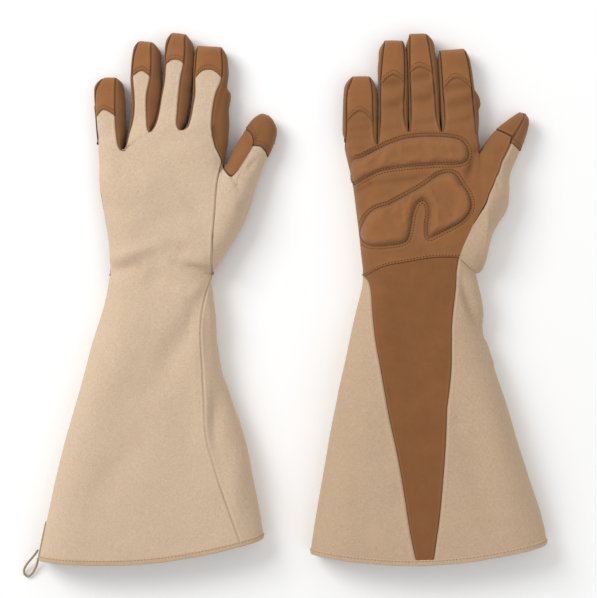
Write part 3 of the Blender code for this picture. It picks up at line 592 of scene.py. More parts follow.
class Finish:
    """One fabric's material and its nodes."""

    def __init__(self, name, roughness, sheen=0.0, sheen_tint=(1, 1, 1)):
        self.material = bpy.data.materials.new(name)
        self.material.use_nodes = True
        self.tree = self.material.node_tree
        self.shader = self.tree.nodes["Principled BSDF"]
        self.shader.inputs["Roughness"].default_value = roughness
        self.shader.inputs["Specular IOR Level"].default_value = 0.22
        self.shader.inputs["Sheen Weight"].default_value = sheen
        self.shader.inputs["Sheen Roughness"].default_value = 0.55
        self.shader.inputs["Sheen Tint"].default_value = (*sheen_tint, 1)

    def node(self, kind, settings, sockets):
        """Any node: its settings are set first, then the values or links of its sockets."""
        node = self.tree.nodes.new(kind)
        for key, value in settings.items():
            setattr(node, key, value)
        for key, value in sockets.items():
            if isinstance(value, Value):
                self.tree.links.new(value.socket, node.inputs[key])
            else:
                node.inputs[key].default_value = value
        return Node(self, node)

    def place(self):
        return self.node("ShaderNodeTexCoord", {}, {}).out("Object")

    def stretched(self, scale, turn=0.0):
        return self.node("ShaderNodeMapping", {}, {
            "Vector": self.place(), "Rotation": (0, 0, turn), "Scale": scale}).out("Vector")

    def grain(self, scale, detail=3.0, rough=0.55, vector=None):
        return self.node("ShaderNodeTexNoise", {"noise_dimensions": "3D"}, {
            "Vector": vector or self.place(), "Scale": scale, "Detail": detail,
            "Roughness": rough}).out("Fac")

    def weave(self, scale, direction):
        return self.node("ShaderNodeTexWave", {"wave_type": "BANDS", "bands_direction": direction}, {
            "Vector": self.place(), "Scale": scale, "Distortion": 0.6, "Detail": 1.0}).out("Fac")

    def attribute(self, name):
        return self.node("ShaderNodeAttribute", {"attribute_name": name}, {}).out("Fac")

    def mix(self, share, first, second):
        node = self.tree.nodes.new("ShaderNodeMix")
        node.data_type = "RGBA"
        for socket, value in ((0, share), (6, first), (7, second)):
            if isinstance(value, Value):
                self.tree.links.new(value.socket, node.inputs[socket])
            else:
                node.inputs[socket].default_value = (*value, 1) if isinstance(value, tuple) else value
        return Value(self, node.outputs[2])

    def clamp(self, value):
        return value.at_least(0.0).at_most(1.0)

    def bump(self, height, distance, strength=1.0, under=None):
        sockets = {"Height": height, "Distance": distance, "Strength": strength}
        if under:
            sockets["Normal"] = under
        return self.node("ShaderNodeBump", {}, sockets).out("Normal")

    def feed(self, **sockets):
        for key, value in sockets.items():
            self.tree.links.new(value.socket, self.shader.inputs[key.replace("_", " ")])
        return self.material


def scaled(color, share):
    return tuple(min(1.0, channel * share) for channel in color)


def canvas_finish(name, color):
    """Heathered cotton canvas: fine flecks along both threads, faint slubs and soft tone changes."""
    cloth = Finish(name, 0.92, 0.12, (1.0, 0.93, 0.85))
    warp = cloth.grain(1.0, 2.0, 0.6, cloth.stretched((1500, 420, 900)))
    weft = cloth.grain(1.0, 2.0, 0.6, cloth.stretched((420, 1500, 900)))
    cloudy = cloth.grain(38, 4.0, 0.6)
    wide = cloth.grain(9, 2.0, 0.5)
    tone = cloth.clamp((warp + weft) * 1.3 - 0.8)
    fleck = cloth.mix(tone, scaled(color, 0.80), scaled(color, 1.17))
    warm = cloth.mix(cloth.clamp(cloudy * 1.6 - 0.3), fleck, cloth.mix(0.5, fleck, (0.62, 0.43, 0.27)))
    toned = cloth.mix(cloth.clamp(wide * 0.5), warm,
            cloth.mix(tone, scaled(color, 0.74), scaled(color, 1.02)))
    # Painted shade: where the seam attribute is positive, in sewn grooves, fold creases and round the pads,
    # the colour is darkened. Where it is negative, on raised ridges, it gets a rubbed lighter tone.
    seam = cloth.attribute("seam")
    dark = cloth.mix(cloth.clamp(seam * 0.62), toned, scaled(color, 0.34))
    rubbed = cloth.mix(cloth.clamp(seam * -0.5), dark, scaled(color, 1.25))
    threads = cloth.weave(520, "X") + cloth.weave(520, "Y")
    normal = cloth.bump(threads, 0.00009, 0.35, cloth.bump(warp + weft, 0.00018, 0.7))
    return cloth.feed(Base_Color=rubbed, Normal=normal, Roughness=0.86 + tone * 0.1)


def suede_finish(name, color):
    """Brushed synthetic suede: short nap, cloudy tone, painted shade in seam grooves and creases, and rubbed
    lighter ridges.
    """
    cloth = Finish(name, 0.9, 0.22, (1.0, 0.86, 0.7))
    nap = cloth.grain(1500, 2.0, 0.7)
    short = cloth.grain(420, 3.0, 0.6)
    cloudy = cloth.grain(70, 4.0, 0.62)
    tone = cloth.clamp(nap * 0.7 + short * 0.7 - 0.2)
    base = cloth.mix(tone, scaled(color, 0.84), scaled(color, 1.15))
    brushed = cloth.mix(cloth.clamp(cloudy * 2.2 - 0.75), base, scaled(color, 1.18))
    # Painted shade: a positive seam value darkens the colour in grooves and creases. A negative one gives
    # raised ridges a rubbed lighter tone.
    seam = cloth.attribute("seam")
    dark = cloth.mix(cloth.clamp(seam * 0.75), brushed, scaled(color, 0.30))
    rubbed = cloth.mix(cloth.clamp(seam * -0.75), dark,
            tuple(min(1, c) for c in (color[0] * 1.4, color[1] * 1.5, color[2] * 1.65)))
    normal = cloth.bump(nap, 0.00012, 0.6, cloth.bump(short, 0.0003, 0.6, cloth.bump(cloudy, 0.0008, 0.4)))
    return cloth.feed(Base_Color=rubbed, Normal=normal, Roughness=0.82 + short * 0.16)


def thread_finish(name, color):
    """Sewing thread with a twist."""
    cloth = Finish(name, 0.7, 0.1)
    twist = cloth.grain(2600, 1.0, 0.5)
    return cloth.feed(Base_Color=cloth.mix(twist, scaled(color, 0.7), scaled(color, 1.3)),
                      Normal=cloth.bump(twist, 0.0001, 0.5), Roughness=0.6 + twist * 0.2)


# ------------------------------------------------------------------ sheets of cloth

def arc(points, axis):
    """Distance along the rows or columns of a grid, in millimetres."""
    step = np.linalg.norm(np.diff(points, axis=axis), axis=-1)
    zero = np.zeros_like(np.take(step, [0], axis=axis))
    return np.concatenate([zero, np.cumsum(step, axis=axis)], axis=axis)


def normals_of(grid):
    du = np.gradient(grid, axis=1)
    dv = np.gradient(grid, axis=0)
    n = np.cross(du, dv)
    size = np.linalg.norm(n, axis=-1, keepdims=True)
    return n / np.maximum(size, 1e-9)


def facing(grid, core):
    """Whether the grid's own normals point away from core, a point or an array of them."""
    n = normals_of(grid)
    return float((n * (grid - core)).sum()) > 0


def from_edges(grid, sides):
    """Distance of each point from the nearest of the sides named: w and e are the first and last columns."""
    across, along = arc(grid, 1), arc(grid, 0)
    gaps = {"w": across, "e": across[:, -1:] - across, "s": along, "n": along[-1:] - along}
    best = np.full(grid.shape[:2], 1e3)
    for side in sides:
        best = np.minimum(best, gaps[side])
    return best


def ripple(x, y, size, seed, waves=9):
    """Smooth unevenness between about -1 and 1 with bumps about size across."""
    source = np.random.default_rng(seed)
    out = np.zeros(np.shape(x))
    for _ in range(waves):
        angle, phase = source.uniform(0, math.pi * 2, 2)
        rate = 2 * math.pi / (size * source.uniform(1.3, 3.2))
        out = out + np.sin((x * math.cos(angle) + y * math.sin(angle)) * rate + phase)
    return out / math.sqrt(waves)


def creases(x, y, folds):
    """Height of soft folds: each is start, end, width and height."""
    out = np.zeros(np.shape(x))
    for start, end, width, height in folds:
        gap, along = segment_distance(x, y, start, end)
        out = out + height * bell(gap, width) * (0.25 + 0.75 * np.sin(math.pi * np.clip(along, 0.08, 0.92)))
    return out


class Patch:
    """A grid of cloth in glove millimetres, with a seam value at each point: painted shade in grooves and
    creases where it is positive, a rubbed lighter tone where it is negative.
    """

    def __init__(self, grid, core):
        self.grid = np.array(grid, float)
        if not facing(self.grid, core):
            self.grid = self.grid[:, ::-1]
            self.turned = True
        else:
            self.turned = False
        self.seam = np.zeros(self.grid.shape[:2])

    def side(self, letters):
        swap = {"w": "e", "e": "w"}
        return "".join(swap.get(c, c) for c in letters) if self.turned else letters

    def tuck(self, sides, depth=0.7, width=0.9, lip=0.2, dark=1.0, hold=1.0):
        """Turns the cloth in along a sewn edge, with a small raised lip beside it."""
        sides = self.side(sides)
        gap = from_edges(self.grid, sides)
        push = (-depth * bell(gap, width) + lip * bell(gap - 2.1 * width, width)) * hold
        self.grid = self.grid + normals_of(self.grid) * push[..., None]
        # The turned-in groove gets painted shade, scaled by dark. The lip beside it gets a rubbed lighter
        # tone.
        self.seam = self.seam + hold * (
            dark * bell(gap, width * 1.1) - 0.35 * lip / 0.2 * bell(gap - 2.1 * width, width * 0.8))
        return self

    def lift(self, height, seam=None):
        self.grid = self.grid + normals_of(self.grid) * np.asarray(height)[..., None]
        # seam adds painted shade where it is positive and a rubbed lighter tone where it is negative.
        if seam is not None:
            self.seam = self.seam + seam
        return self

    def wander(self, amount, size, seed):
        """Small unevenness of soft cloth, none at the rims so that neighbours still meet."""
        hold = np.clip(from_edges(self.grid, "wesn") / 6, 0, 1)
        x, y = self.grid[..., 0] + self.grid[..., 2], self.grid[..., 1]
        return self.lift(amount * hold * ripple(x, y, size, seed))

    def line(self, side, gap):
        """Points and normals that run beside one side at a distance."""
        grid, n = self.grid, normals_of(self.grid)
        side = self.side(side)
        if side in "we":
            grid, n = np.swapaxes(grid, 0, 1), np.swapaxes(n, 0, 1)
        if side in "en":
            grid, n = grid[::-1], n[::-1]
        far = arc(grid, 0)
        points, ups = [], []
        for column in range(grid.shape[1]):
            if far[-1, column] < gap * 1.5:
                continue
            points.append([np.interp(gap, far[:, column], grid[:, column, axis]) for axis in range(3)])
            ups.append([np.interp(gap, far[:, column], n[:, column, axis]) for axis in range(3)])
        return np.array(points), np.array(ups)


def select_only(obj):
    bpy.ops.object.select_all(action="DESELECT")
    obj.hide_set(False)
    obj.select_set(True)
    bpy.context.view_layer.objects.active = obj


def apply_modifier(obj, kind, **settings):
    modifier = obj.modifiers.new(kind.lower(), kind)
    for key, value in settings.items():
        setattr(modifier, key, value)
    select_only(obj)
    bpy.ops.object.modifier_apply(modifier=modifier.name)


def mesh_object(name, points, faces, material, seam=None):
    mesh = bpy.data.meshes.new(name)
    mesh.from_pydata([tuple(p) for p in points], [], faces)
    if seam is not None:
        # The seam attribute carries painted shade (positive values) and a rubbed lighter tone (negative
        # values) to the finishes.
        layer = mesh.attributes.new("seam", "FLOAT", "POINT")
        layer.data.foreach_set("value", np.asarray(seam, np.float32).ravel())
    mesh.materials.append(material)
    obj = bpy.data.objects.new(name, mesh)
    bpy.context.scene.collection.objects.link(obj)
    return obj


def sew(glove, name, patches, material, wall, weld=0.02):
    """One piece from its patches: joined, given its thickness and smoothed."""
    for patch in patches:
        patch.grid[..., 2] = np.maximum(patch.grid[..., 2], FLOOR_GAP)
    # Per-point seam values of the patches: painted shade where positive, rubbed lighter tone where negative.
    points, faces, painted_shade_and_rub, start = [], [], [], 0
    for patch in patches:
        rows, columns = patch.grid.shape[:2]
        points.append(glove.world(patch.grid).reshape(-1, 3))
        painted_shade_and_rub.append(patch.seam.ravel())
        for row in range(rows - 1):
            for column in range(columns - 1):
                a = start + row * columns + column
                faces.append((a, a + 1, a + columns + 1, a + columns))
        start += rows * columns
    obj = mesh_object(f"{glove.name}_{name}", np.concatenate(points), faces, material, np.concatenate(painted_shade_and_rub))
    select_only(obj)
    bpy.ops.object.mode_set(mode="EDIT")
    bpy.ops.mesh.select_all(action="SELECT")
    bpy.ops.mesh.remove_doubles(threshold=weld * MM)
    bpy.ops.mesh.dissolve_degenerate(threshold=0.004 * MM)
    bpy.ops.object.mode_set(mode="OBJECT")
    if wall:
        apply_modifier(obj, "SOLIDIFY", thickness=wall * MM, offset=-1.0, use_even_offset=False)
    select_only(obj)
    bpy.ops.object.shade_smooth_by_angle(angle=math.radians(50))
    return obj


STITCH_RINGS = ((-1.0, 0.35, -0.7), (-0.62, 0.9, -0.05), (0.0, 1.0, 0.25), (0.62, 0.9, -0.05),
        (1.0, 0.35, -0.7))


def stitch_run(glove, name, lines, material, pitch=2.6, length=1.7, radius=0.26, sink=0.0):
    """Sewing thread: one short bowed thread per stitch along each line of (points, normals)."""
    verts, faces = [], []
    for points, ups in lines:
        if len(points) < 2:
            continue
        far = np.concatenate([[0], np.cumsum(np.linalg.norm(np.diff(points, axis=0), axis=1))])
        count = max(1, int(far[-1] / pitch))
        for place in (np.arange(count) + 0.5) * far[-1] / count:
            middle = np.array([np.interp(place, far, points[:, a]) for a in range(3)])
            ahead = np.array([np.interp(place + 0.8, far, points[:, a]) for a in range(3)])
            behind = np.array([np.interp(place - 0.8, far, points[:, a]) for a in range(3)])
            up = np.array([np.interp(place, far, ups[:, a]) for a in range(3)])
            run = ahead - behind
            run /= max(np.linalg.norm(run), 1e-6)
            up -= run * (up @ run)
            up /= max(np.linalg.norm(up), 1e-6)
            side = np.cross(run, up)
            start = len(verts)
            for reach, thick, rise in STITCH_RINGS:
                centre = middle + run * reach * length / 2 + up * (radius * (rise + 0.35) - sink)
                for corner in range(5):
                    turn = corner * math.tau / 5
                    verts.append(centre + (side * math.cos(turn) + up * math.sin(turn)) * radius * thick)
            for ring in range(4):
                for corner in range(5):
                    a, b = start + ring * 5 + corner, start + ring * 5 + (corner + 1) % 5
                    faces.append((a, a + 5, b + 5, b))
            faces.append(tuple(start + c for c in range(5)))
            faces.append(tuple(start + 20 + c for c in range(4, -1, -1)))
    if not verts:
        return None
    obj = mesh_object(f"{glove.name}_{name}", glove.world(np.array(verts)), faces, material)
    obj.data.attributes.new("seam", "FLOAT", "POINT")
    select_only(obj)
    bpy.ops.object.mode_set(mode="EDIT")
    bpy.ops.mesh.select_all(action="SELECT")
    bpy.ops.mesh.normals_make_consistent(inside=False)
    bpy.ops.object.mode_set(mode="OBJECT")
    bpy.ops.object.shade_smooth()
    return obj


def join(obj, extra):
    """Adds a run of stitches or another part to a piece, so that it moves with it."""
    if extra is None:
        return obj
    bpy.ops.object.select_all(action="DESELECT")
    extra.select_set(True)
    obj.select_set(True)
    bpy.context.view_layer.objects.active = obj
    bpy.ops.object.join()
    return obj


def bead(glove, name, points, radius, material, sides=7):
    """A thin round edge, such as a turned seam, along a line of points."""
    points = np.array(points, float)
    run = np.gradient(points, axis=0)
    run /= np.maximum(np.linalg.norm(run, axis=1, keepdims=True), 1e-9)
    up = np.tile([0.0, 0.0, 1.0], (len(points), 1))
    side = np.cross(run, up)
    side /= np.maximum(np.linalg.norm(side, axis=1, keepdims=True), 1e-9)
    up = np.cross(side, run)
    verts, faces = [], []
    for place in range(len(points)):
        taper = 0.45 if place in (0, len(points) - 1) else 1.0
        for corner in range(sides):
            turn = corner * math.tau / sides
            verts.append(points[place] + (side[place] * math.cos(turn) + up[place] * math.sin(turn))
                    * radius * taper)
    for place in range(len(points) - 1):
        for corner in range(sides):
            a, b = place * sides + corner, place * sides + (corner + 1) % sides
            faces.append((a, b, b + sides, a + sides))
    faces.append(tuple(range(sides - 1, -1, -1)))
    faces.append(tuple(len(verts) - sides + c for c in range(sides)))
    obj = mesh_object(f"{glove.name}_{name}", glove.world(np.array(verts)), faces, material,
            np.full(len(verts), -0.2))
    select_only(obj)
    bpy.ops.object.mode_set(mode="EDIT")
    bpy.ops.mesh.select_all(action="SELECT")
    bpy.ops.mesh.normals_make_consistent(inside=False)
    bpy.ops.object.mode_set(mode="OBJECT")
    bpy.ops.object.shade_smooth()
    return obj


# ------------------------------------------------------------------ the panels

CLOTH = 1.3              # canvas with its lining
LEATHER = 1.2


def wrist_blend(glove, obj):
    """Bakes the piece's place into its mesh; the span from 32 to 6.5 mm below the wrist line is worked out
    but not used.
    """
    up = np.array([-glove.wrist_run[1], glove.wrist_run[0]])
    start, end = up * -32, up * -6.5
    glove.spot(*start)
    glove.spot(*end)
    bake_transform(obj)


def finger_blend(finger, obj):
    """Bakes the piece's place into its mesh; the 14 mm from the finger's higher crotch on are worked out but
    not used.
    """
    start = max(finger.low_root[0], finger.high_root[0], 0.0)
    low, high = finger.plan(start, 0.0), finger.plan(start + 14, 0.0)
    finger.glove.spot(*low)
    finger.glove.spot(*high)
    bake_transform(obj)


def thumb_blend(glove, obj):
    joint = JOINTS[f"{glove.name}_thumb_flex"]
    root = np.array(joint["pos_m"][:2]) / MM - glove.place
    axis = np.array(joint["axis"][:2])
    out = np.array([axis[1], -axis[0]])
    out = out * np.sign(out[0])
    glove.spot(*(root + out * 0.3))
    glove.spot(*(root + out * 15))
    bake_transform(obj)


LEFT_BACK_FOLDS = (
    ((-37, 13), (0, 25), 5.5, 1.5), ((-41, 3), (-16, 7), 5.0, -1.5), ((12, 23), (26, 17), 6.0, -1.3),
    ((-14, 2), (6, -6), 7.0, -1.4), ((42, 2), (14, 9), 4.5, -1.9), ((41, -8), (20, -16), 6.0, 0.9),
    ((38, -18), (-4, -88), 11.0, -2.0), ((-20, -40), (-52, -110), 16.0, 1.4),
    ((10, -60), (30, -150), 15.0, -1.2),
    ((-8, -120), (-60, -190), 14.0, -1.0), ((-30, 60), (10, 90), 13.0, 0.9), ((20, 70), (38, 40), 9.0, -0.9),
    ((-46, 62), (-30, 48), 6.0, -0.8), ((-6, 40), (22, 52), 10.0, -0.8), ((30, 100), (8, 96), 7.0, 0.6))
SIDE_FOLDS = (
    ((44, -4), (58, -52), 6.0, -1.8), ((50, -80), (38, -150), 8.0, -1.6), ((66, -120), (58, -190), 9.0, 1.2),
    ((36, -8), (44, -60), 4.0, 1.0))
PALM_FOLDS = (
    ((-16, 57.5), (12, 72), 3.2, 0.9), ((-54, 62), (-38, 69.6), 2.2, -1.5),
    ((-38, 69.6), (15, 76.5), 2.2, -1.5),
    ((-52, 52), (-46, 40), 4.0, -1.0), ((46, 95), (38, 72), 3.4, -2.6), ((-40, 12), (10, 18), 8.0, -0.8),
    ((-30, 97.5), (-56, 90), 2.6, -1.2), ((15, 20), (30, 30), 7.0, 0.8), ((-52, 98), (-36, 97), 3.0, -0.8))
RIGHT_CUFF_FOLDS = (
    ((32, -6), (52, -52), 3.6, -2.2), ((44, -10), (60, -70), 5.0, 1.4), ((50, -90), (80, -190), 12.0, 1.3),
    ((-52, -60), (-60, -130), 8.0, 1.3), ((-64, -110), (-40, -200), 9.0, -1.0),
    ((30, -120), (60, -200), 10.0, -1.2),
    ((-10, -30), (10, -120), 16.0, -0.8), ((-36, -60), (-26, -100), 6.0, -0.7))
THUMB_CLOTH_FOLDS = (
    ((51, 89), (64, 68), 1.6, -1.5), ((66, 62), (73, 40), 6.0, -1.2), ((52, 40), (60, 64), 7.0, 0.9),
    ((74, 84), (82, 98), 4.0, -0.9), ((76, 92), (70, 84), 2.6, -1.2), ((73, 60), (64, 54), 3.0, -1.3))


def rows_between(low, high, step):
    return np.linspace(low, high, max(2, int(round(abs(high - low) / step)) + 1))


def back_cloth(glove, look):
    """The back panel, one piece of canvas from the hem to the knuckles."""
    u = packed(64, "both", 1.45)
    top = not glove.palm_up
    cuff_rows, hand_rows = rows_between(-1, 0, 0.011)[:-1], rows_between(0, 1, 0.018)
    low = glove.cuff(cuff_rows[:, None], u[None, :] * glove.back_seam(cuff_rows)[:, None], top)
    high = glove.hand(hand_rows[:, None], u[None, :], top)
    patch = Patch(np.concatenate([low, high]), np.array([0, -60, SEAM_Z]))
    x, y = patch.grid[..., 0], patch.grid[..., 1]
    hold = np.clip(from_edges(patch.grid, "we") / 9, 0, 1)
    patch.lift(2.2 * creases(x, y, LEFT_BACK_FOLDS) * hold)
    patch.wander(0.34, 26, 3).wander(0.09, 7, 4)
    patch.tuck("e", 0.6, 0.8, 0.3, 0.3)
    patch.tuck("w", 0.35, 1.2, 0.0, 0.3)
    obj = sew(glove, "back_cloth", [patch], look["canvas"], CLOTH)
    wrist_blend(glove, obj)
    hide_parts(f"{glove.name}_cuff_back_panel", f"{glove.name}_hand_back_panel")
    return obj


def cuff_panel(glove, name, node, look, slot, spans, seed, folds, tucks):
    """A cuff panel made of spans: each (start share, end share, on top, closer columns at)."""
    t = rows_between(-1, 0, 0.011)
    patches = []
    for start, end, top, dense, count in spans:
        u = packed(count, dense, 1.5)
        share = start(t)[:, None] + (end(t) - start(t))[:, None] * u[None, :]
        patches.append(glove.cuff(t[:, None], share, top))
    grid = np.concatenate([patches[0]] + [p[:, 1:] for p in patches[1:]], axis=1)
    patch = Patch(grid, np.array([10.0 if glove.palm_up else -5.0, -110, SEAM_Z]))
    hold = np.clip(from_edges(patch.grid, "we") / 8, 0, 1)
    patch.lift(2.1 * creases(patch.grid[..., 0], patch.grid[..., 1], folds) * hold)
    patch.wander(0.32, 24, seed).wander(0.08, 7, seed + 1)
    patch.tuck(tucks, 0.55, 0.8, 0.3, 0.7 if slot == "dark_suede" else 0.35)
    obj = sew(glove, name, [patch], look, CLOTH)
    wrist_blend(glove, obj)
    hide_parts(f"{glove.name}_{node}")
    return obj


def cuff_panels(glove, look):
    palm_up = glove.palm_up
    one = lambda t: np.ones_like(t)
    zero = lambda t: np.zeros_like(t)
    low = lambda t: curve(STRIPE_LOW, t)
    high = lambda t: curve(STRIPE_HIGH, t)
    corner = glove.corner_share()
    if palm_up:
        high = lambda t: straight(tuple((k, v) for k, v in STRIPE_HIGH[:-1]) + ((0, corner),), t)
    folds = RIGHT_CUFF_FOLDS if palm_up else SIDE_FOLDS
    canvas = look["side_canvas"] if palm_up else look["canvas"]
    cuff_panel(glove, "side_cloth", "cuff_thumb_side_panel", canvas, "canvas",
               ((glove.back_seam, one, not palm_up, "both", 22), (one, high, palm_up, "both", 40)), 11,
               folds, "we")
    cuff_panel(glove, "stripe_cloth", "cuff_palm_stripe", look["stripe"], "dark_suede",
               ((low, high, palm_up, "both", 44),), 13, folds, "we")
    cuff_panel(glove, "outer_cloth", "cuff_pinky_side_panel", canvas, "canvas",
               ((zero, low, palm_up, "both", 40),), 15, folds, "e")


def rolled_hem(glove, look):
    """The folded and stitched edge round the opening."""
    share = packed(70, "both", 1.5)
    ring = np.concatenate([glove.cuff(-1.0, share, True), glove.cuff(-1.0, share[::-1], False)[1:-1]])
    run = np.roll(ring, -1, axis=0) - np.roll(ring, 1, axis=0)
    run /= np.linalg.norm(run, axis=1, keepdims=True)
    down = np.array([0.0, -1.0, 0.0]) - run * -run[:, 1:2]
    down /= np.linalg.norm(down, axis=1, keepdims=True)
    out = np.cross(run, down)
    if (out * (ring - ring.mean(0))).sum() < 0:
        out = -out
    turns = np.linspace(0, math.tau, 17)[:-1]
    section = [(1.7 + 2.5 * np.sign(math.cos(a)) * abs(math.cos(a)) ** 0.7,
            -0.55 + 1.15 * np.sign(math.sin(a)) * abs(math.sin(a)) ** 0.8)
               for a in turns]
    uneven = 0.16 * ripple(ring[:, 0], ring[:, 2], 9, 21)
    rows = np.array([ring + down * (reach + (uneven[:, None] if reach > 2 else 0)) + out * rise for reach,
            rise in section])
    rows = np.concatenate([rows, rows[:1]])
    rows = np.concatenate([rows, rows[:, :1]], axis=1)
    centre = ring + down * 1.7 - out * 0.55
    centre = np.concatenate([centre, centre[:1]])[None, :, :]
    patch = Patch(rows, centre)
    patch.seam = np.where(np.abs(patch.grid[..., 1] - centre[..., 1]) < 1.2, 0.0,
            -0.25) * np.ones(patch.grid.shape[:2])
    obj = sew(glove, "rolled_hem", [patch], look["hem"], 0)
    line = ring + down * 0.5 + out * 0.56
    loop = np.concatenate([line, line[:1]])
    stitches = stitch_run(glove, "hem_stitches", [(loop, np.concatenate([out, out[:1]]))],
            look["canvas_thread"],
                          pitch=2.7, length=1.9, radius=0.32)
    obj = join(obj, stitches)
    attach(obj, f"{glove.name}_cuff")
    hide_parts(f"{glove.name}_hem_binding")
    return obj


# ------------------------------------------------------------------ the palm

def cushion_outline(glove, corners):
    """A pad's outline in this glove's frame; the left hand is narrower and leans to the thumb."""
    if glove.palm_up:
        return smooth_loop(corners)
    return smooth_loop([(x * 0.93 + 5.3 * y / 105, y * 1.03) for x, y in corners])


def palm_relief(glove, x, y):
    """Height of the palm round its pads, and its seam value there: painted shade in the groove round each pad
    and a rubbed lighter tone on the raised lip beyond it.
    """
    height, shade = np.zeros(np.shape(x)), np.zeros(np.shape(x))
    for corners in (UPPER_CUSHION, HEEL_CUSHION):
        gap = outline_distance(x, y, cushion_outline(glove, corners))
        height = height - 0.7 * bell(gap + 1.2, 1.4) + 0.45 * bell(gap + 4.6, 1.8)
        shade = shade + 0.3 * bell(gap + 0.9, 1.1) - 0.2 * bell(gap + 4.4, 1.4)
    return height, shade


def palm_leather(glove, look):
    """The palm panel from the wrist seam to the finger roots."""
    u, t = packed(90, "both", 1.35), np.concatenate([[0.0], packed(96, "both", 1.2)[1:]])
    patch = Patch(glove.hand(t[:, None], u[None, :], glove.palm_up), np.array([0, 50, SEAM_Z]))
    x, y = patch.grid[..., 0], patch.grid[..., 1]
    height, shade = palm_relief(glove, x, y)
    hold = np.clip(from_edges(patch.grid, "wes") / 5, 0, 1)
    folds = creases(x, y, PALM_FOLDS) if glove.palm_up else 0
    # Painted shade goes into the groove round the pads and into the valleys of the palm's folds.
    patch.lift(height * hold + folds * hold, shade + np.clip(-folds * 0.18, 0, 0.5) * hold)
    patch.wander(0.22, 16, 31).wander(0.07, 5, 32)
    patch.tuck("s", 0.9, 0.9, 0.5)
    obj = sew(glove, "palm_leather", [patch], look["suede"], LEATHER)
    points, ups = patch.line("s", 2.6)
    join(obj, stitch_run(glove, "wrist_stitches", [(points, ups)], look["dark_thread"], pitch=2.5,
            length=1.6, radius=0.36))
    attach(obj, f"{glove.name}_hand")
    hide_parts(f"{glove.name}_hand_palm_panel")
    return obj


def surface_under(obj, glove, plan, everywhere=True):
    """Points and normals where vertical lines at plan positions meet a piece from outside."""
    from_above = glove.palm_up
    found, ups = [], []
    for x, y in plan:
        start = Vector(glove.spot(x, y, 80 if from_above else -80))
        hit, place, normal, _ = obj.ray_cast(start, Vector((0, 0, -1 if from_above else 1)))
        if not hit and not everywhere:
            continue
        if not hit:
            _, place, normal, _ = obj.closest_point_on_mesh(Vector(glove.spot(x, y,
                    found[-1][2] if found else 24)))
        found.append(np.array([x, y, place.z / MM]))
        ups.append(np.array(normal))
    return np.array(found), np.array(ups)


def cushion(glove, name, corners, loft, palm, look, cells=1.7):
    """A quilted pad: a crowned closed form, swelled under pressure with its edge sewn down."""
    from mathutils.geometry import delaunay_2d_cdt
    outline = cushion_outline(glove, corners)
    low, high = outline.min(0), outline.max(0)
    xs, ys = np.arange(low[0], high[0], cells), np.arange(low[1], high[1], cells * 0.87)
    spots = [(x + (row % 2) * cells / 2, y) for row, y in enumerate(ys) for x in xs]
    spots = np.array(spots)
    spots = spots[outline_distance(spots[:, 0], spots[:, 1], outline) > cells * 0.55]
    verts = [Vector(p) for p in outline] + [Vector(p) for p in spots]
    rim = [(i, (i + 1) % len(outline)) for i in range(len(outline))]
    flat, _, faces, *_ = delaunay_2d_cdt(verts, rim, [], 1, 1e-5)
    flat = np.array([tuple(v) for v in flat])
    gap = np.maximum(outline_distance(flat[:, 0], flat[:, 1], outline), 0)
    ground, _ = surface_under(palm, glove, flat)
    sign = 1 if glove.palm_up else -1
    crown = loft * shoulder(gap, 6.5, 2.2)
    points = np.column_stack([flat, ground[:, 2] + sign * (crown + 0.12)])
    # Seam values: painted shade along the pad's sewn edge, and a rubbed lighter tone about 5 mm inside it.
    obj = mesh_object(f"{glove.name}_{name}", glove.world(points), [tuple(f) for f in faces], look["pad"],
                      0.35 * bell(gap, 1.1) - 0.25 * bell(gap - 5, 2))
    select_only(obj)
    bpy.ops.object.mode_set(mode="EDIT")
    bpy.ops.mesh.select_all(action="SELECT")
    bpy.ops.mesh.normals_make_consistent(inside=False)
    bpy.ops.object.mode_set(mode="OBJECT")
    if (sum(p.normal.z for p in obj.data.polygons) > 0) != glove.palm_up:
        obj.data.flip_normals()
    swell(obj, gap, cap=0.8)
    apply_modifier(obj, "SUBSURF", levels=1, render_levels=1)
    for vertex in obj.data.vertices:
        vertex.co.z = max(vertex.co.z, FLOOR_GAP * MM)
    apply_modifier(obj, "SOLIDIFY", thickness=1.0 * MM, offset=-1.0)
    select_only(obj)
    bpy.ops.object.shade_smooth()
    return obj, outline


def swell(obj, gap, cap):
    """Cloth under pressure with its sewn edge held; no point may move further than cap."""
    rest = np.array([v.co for v in obj.data.vertices])
    group = obj.vertex_groups.new(name="sewn")
    group.add([i for i, g in enumerate(gap) if g < 0.4], 1.0, "REPLACE")
    modifier = obj.modifiers.new("cloth", "CLOTH")
    settings = modifier.settings
    settings.vertex_group_mass = "sewn"
    settings.quality = 5
    settings.mass = 0.1
    settings.tension_stiffness = settings.compression_stiffness = 12
    settings.bending_stiffness = 0.15
    settings.use_pressure = True
    settings.uniform_pressure_force = 4
    settings.shrink_min = -0.03
    settings.effector_weights.gravity = 0
    modifier.collision_settings.use_collision = False
    modifier.point_cache.frame_start, modifier.point_cache.frame_end = 1, 14
    scene = bpy.context.scene
    for step in range(1, 15):
        scene.frame_set(step)
    moved = obj.evaluated_get(bpy.context.evaluated_depsgraph_get()).to_mesh()
    now = np.array([v.co for v in moved.vertices])
    obj.modifiers.remove(modifier)
    scene.frame_set(1)
    push = now - rest
    size = np.linalg.norm(push, axis=1, keepdims=True)
    push *= np.minimum(1, cap * MM / np.maximum(size, 1e-9))
    place = rest + np.nan_to_num(push)
    obj.data.vertices.foreach_set("co", place.astype(np.float32).ravel())
    obj.data.update()


def offset_outline(outline, gap):
    run = np.roll(outline, -1, axis=0) - np.roll(outline, 1, axis=0)
    run /= np.linalg.norm(run, axis=1, keepdims=True)
    side = np.column_stack([run[:, 1], -run[:, 0]])
    area = 0.5 * np.sum(outline[:, 0] * np.roll(outline[:, 1], -1) - np.roll(outline[:, 0], -1)
            * outline[:, 1])
    return outline + side * gap * (1 if area > 0 else -1)


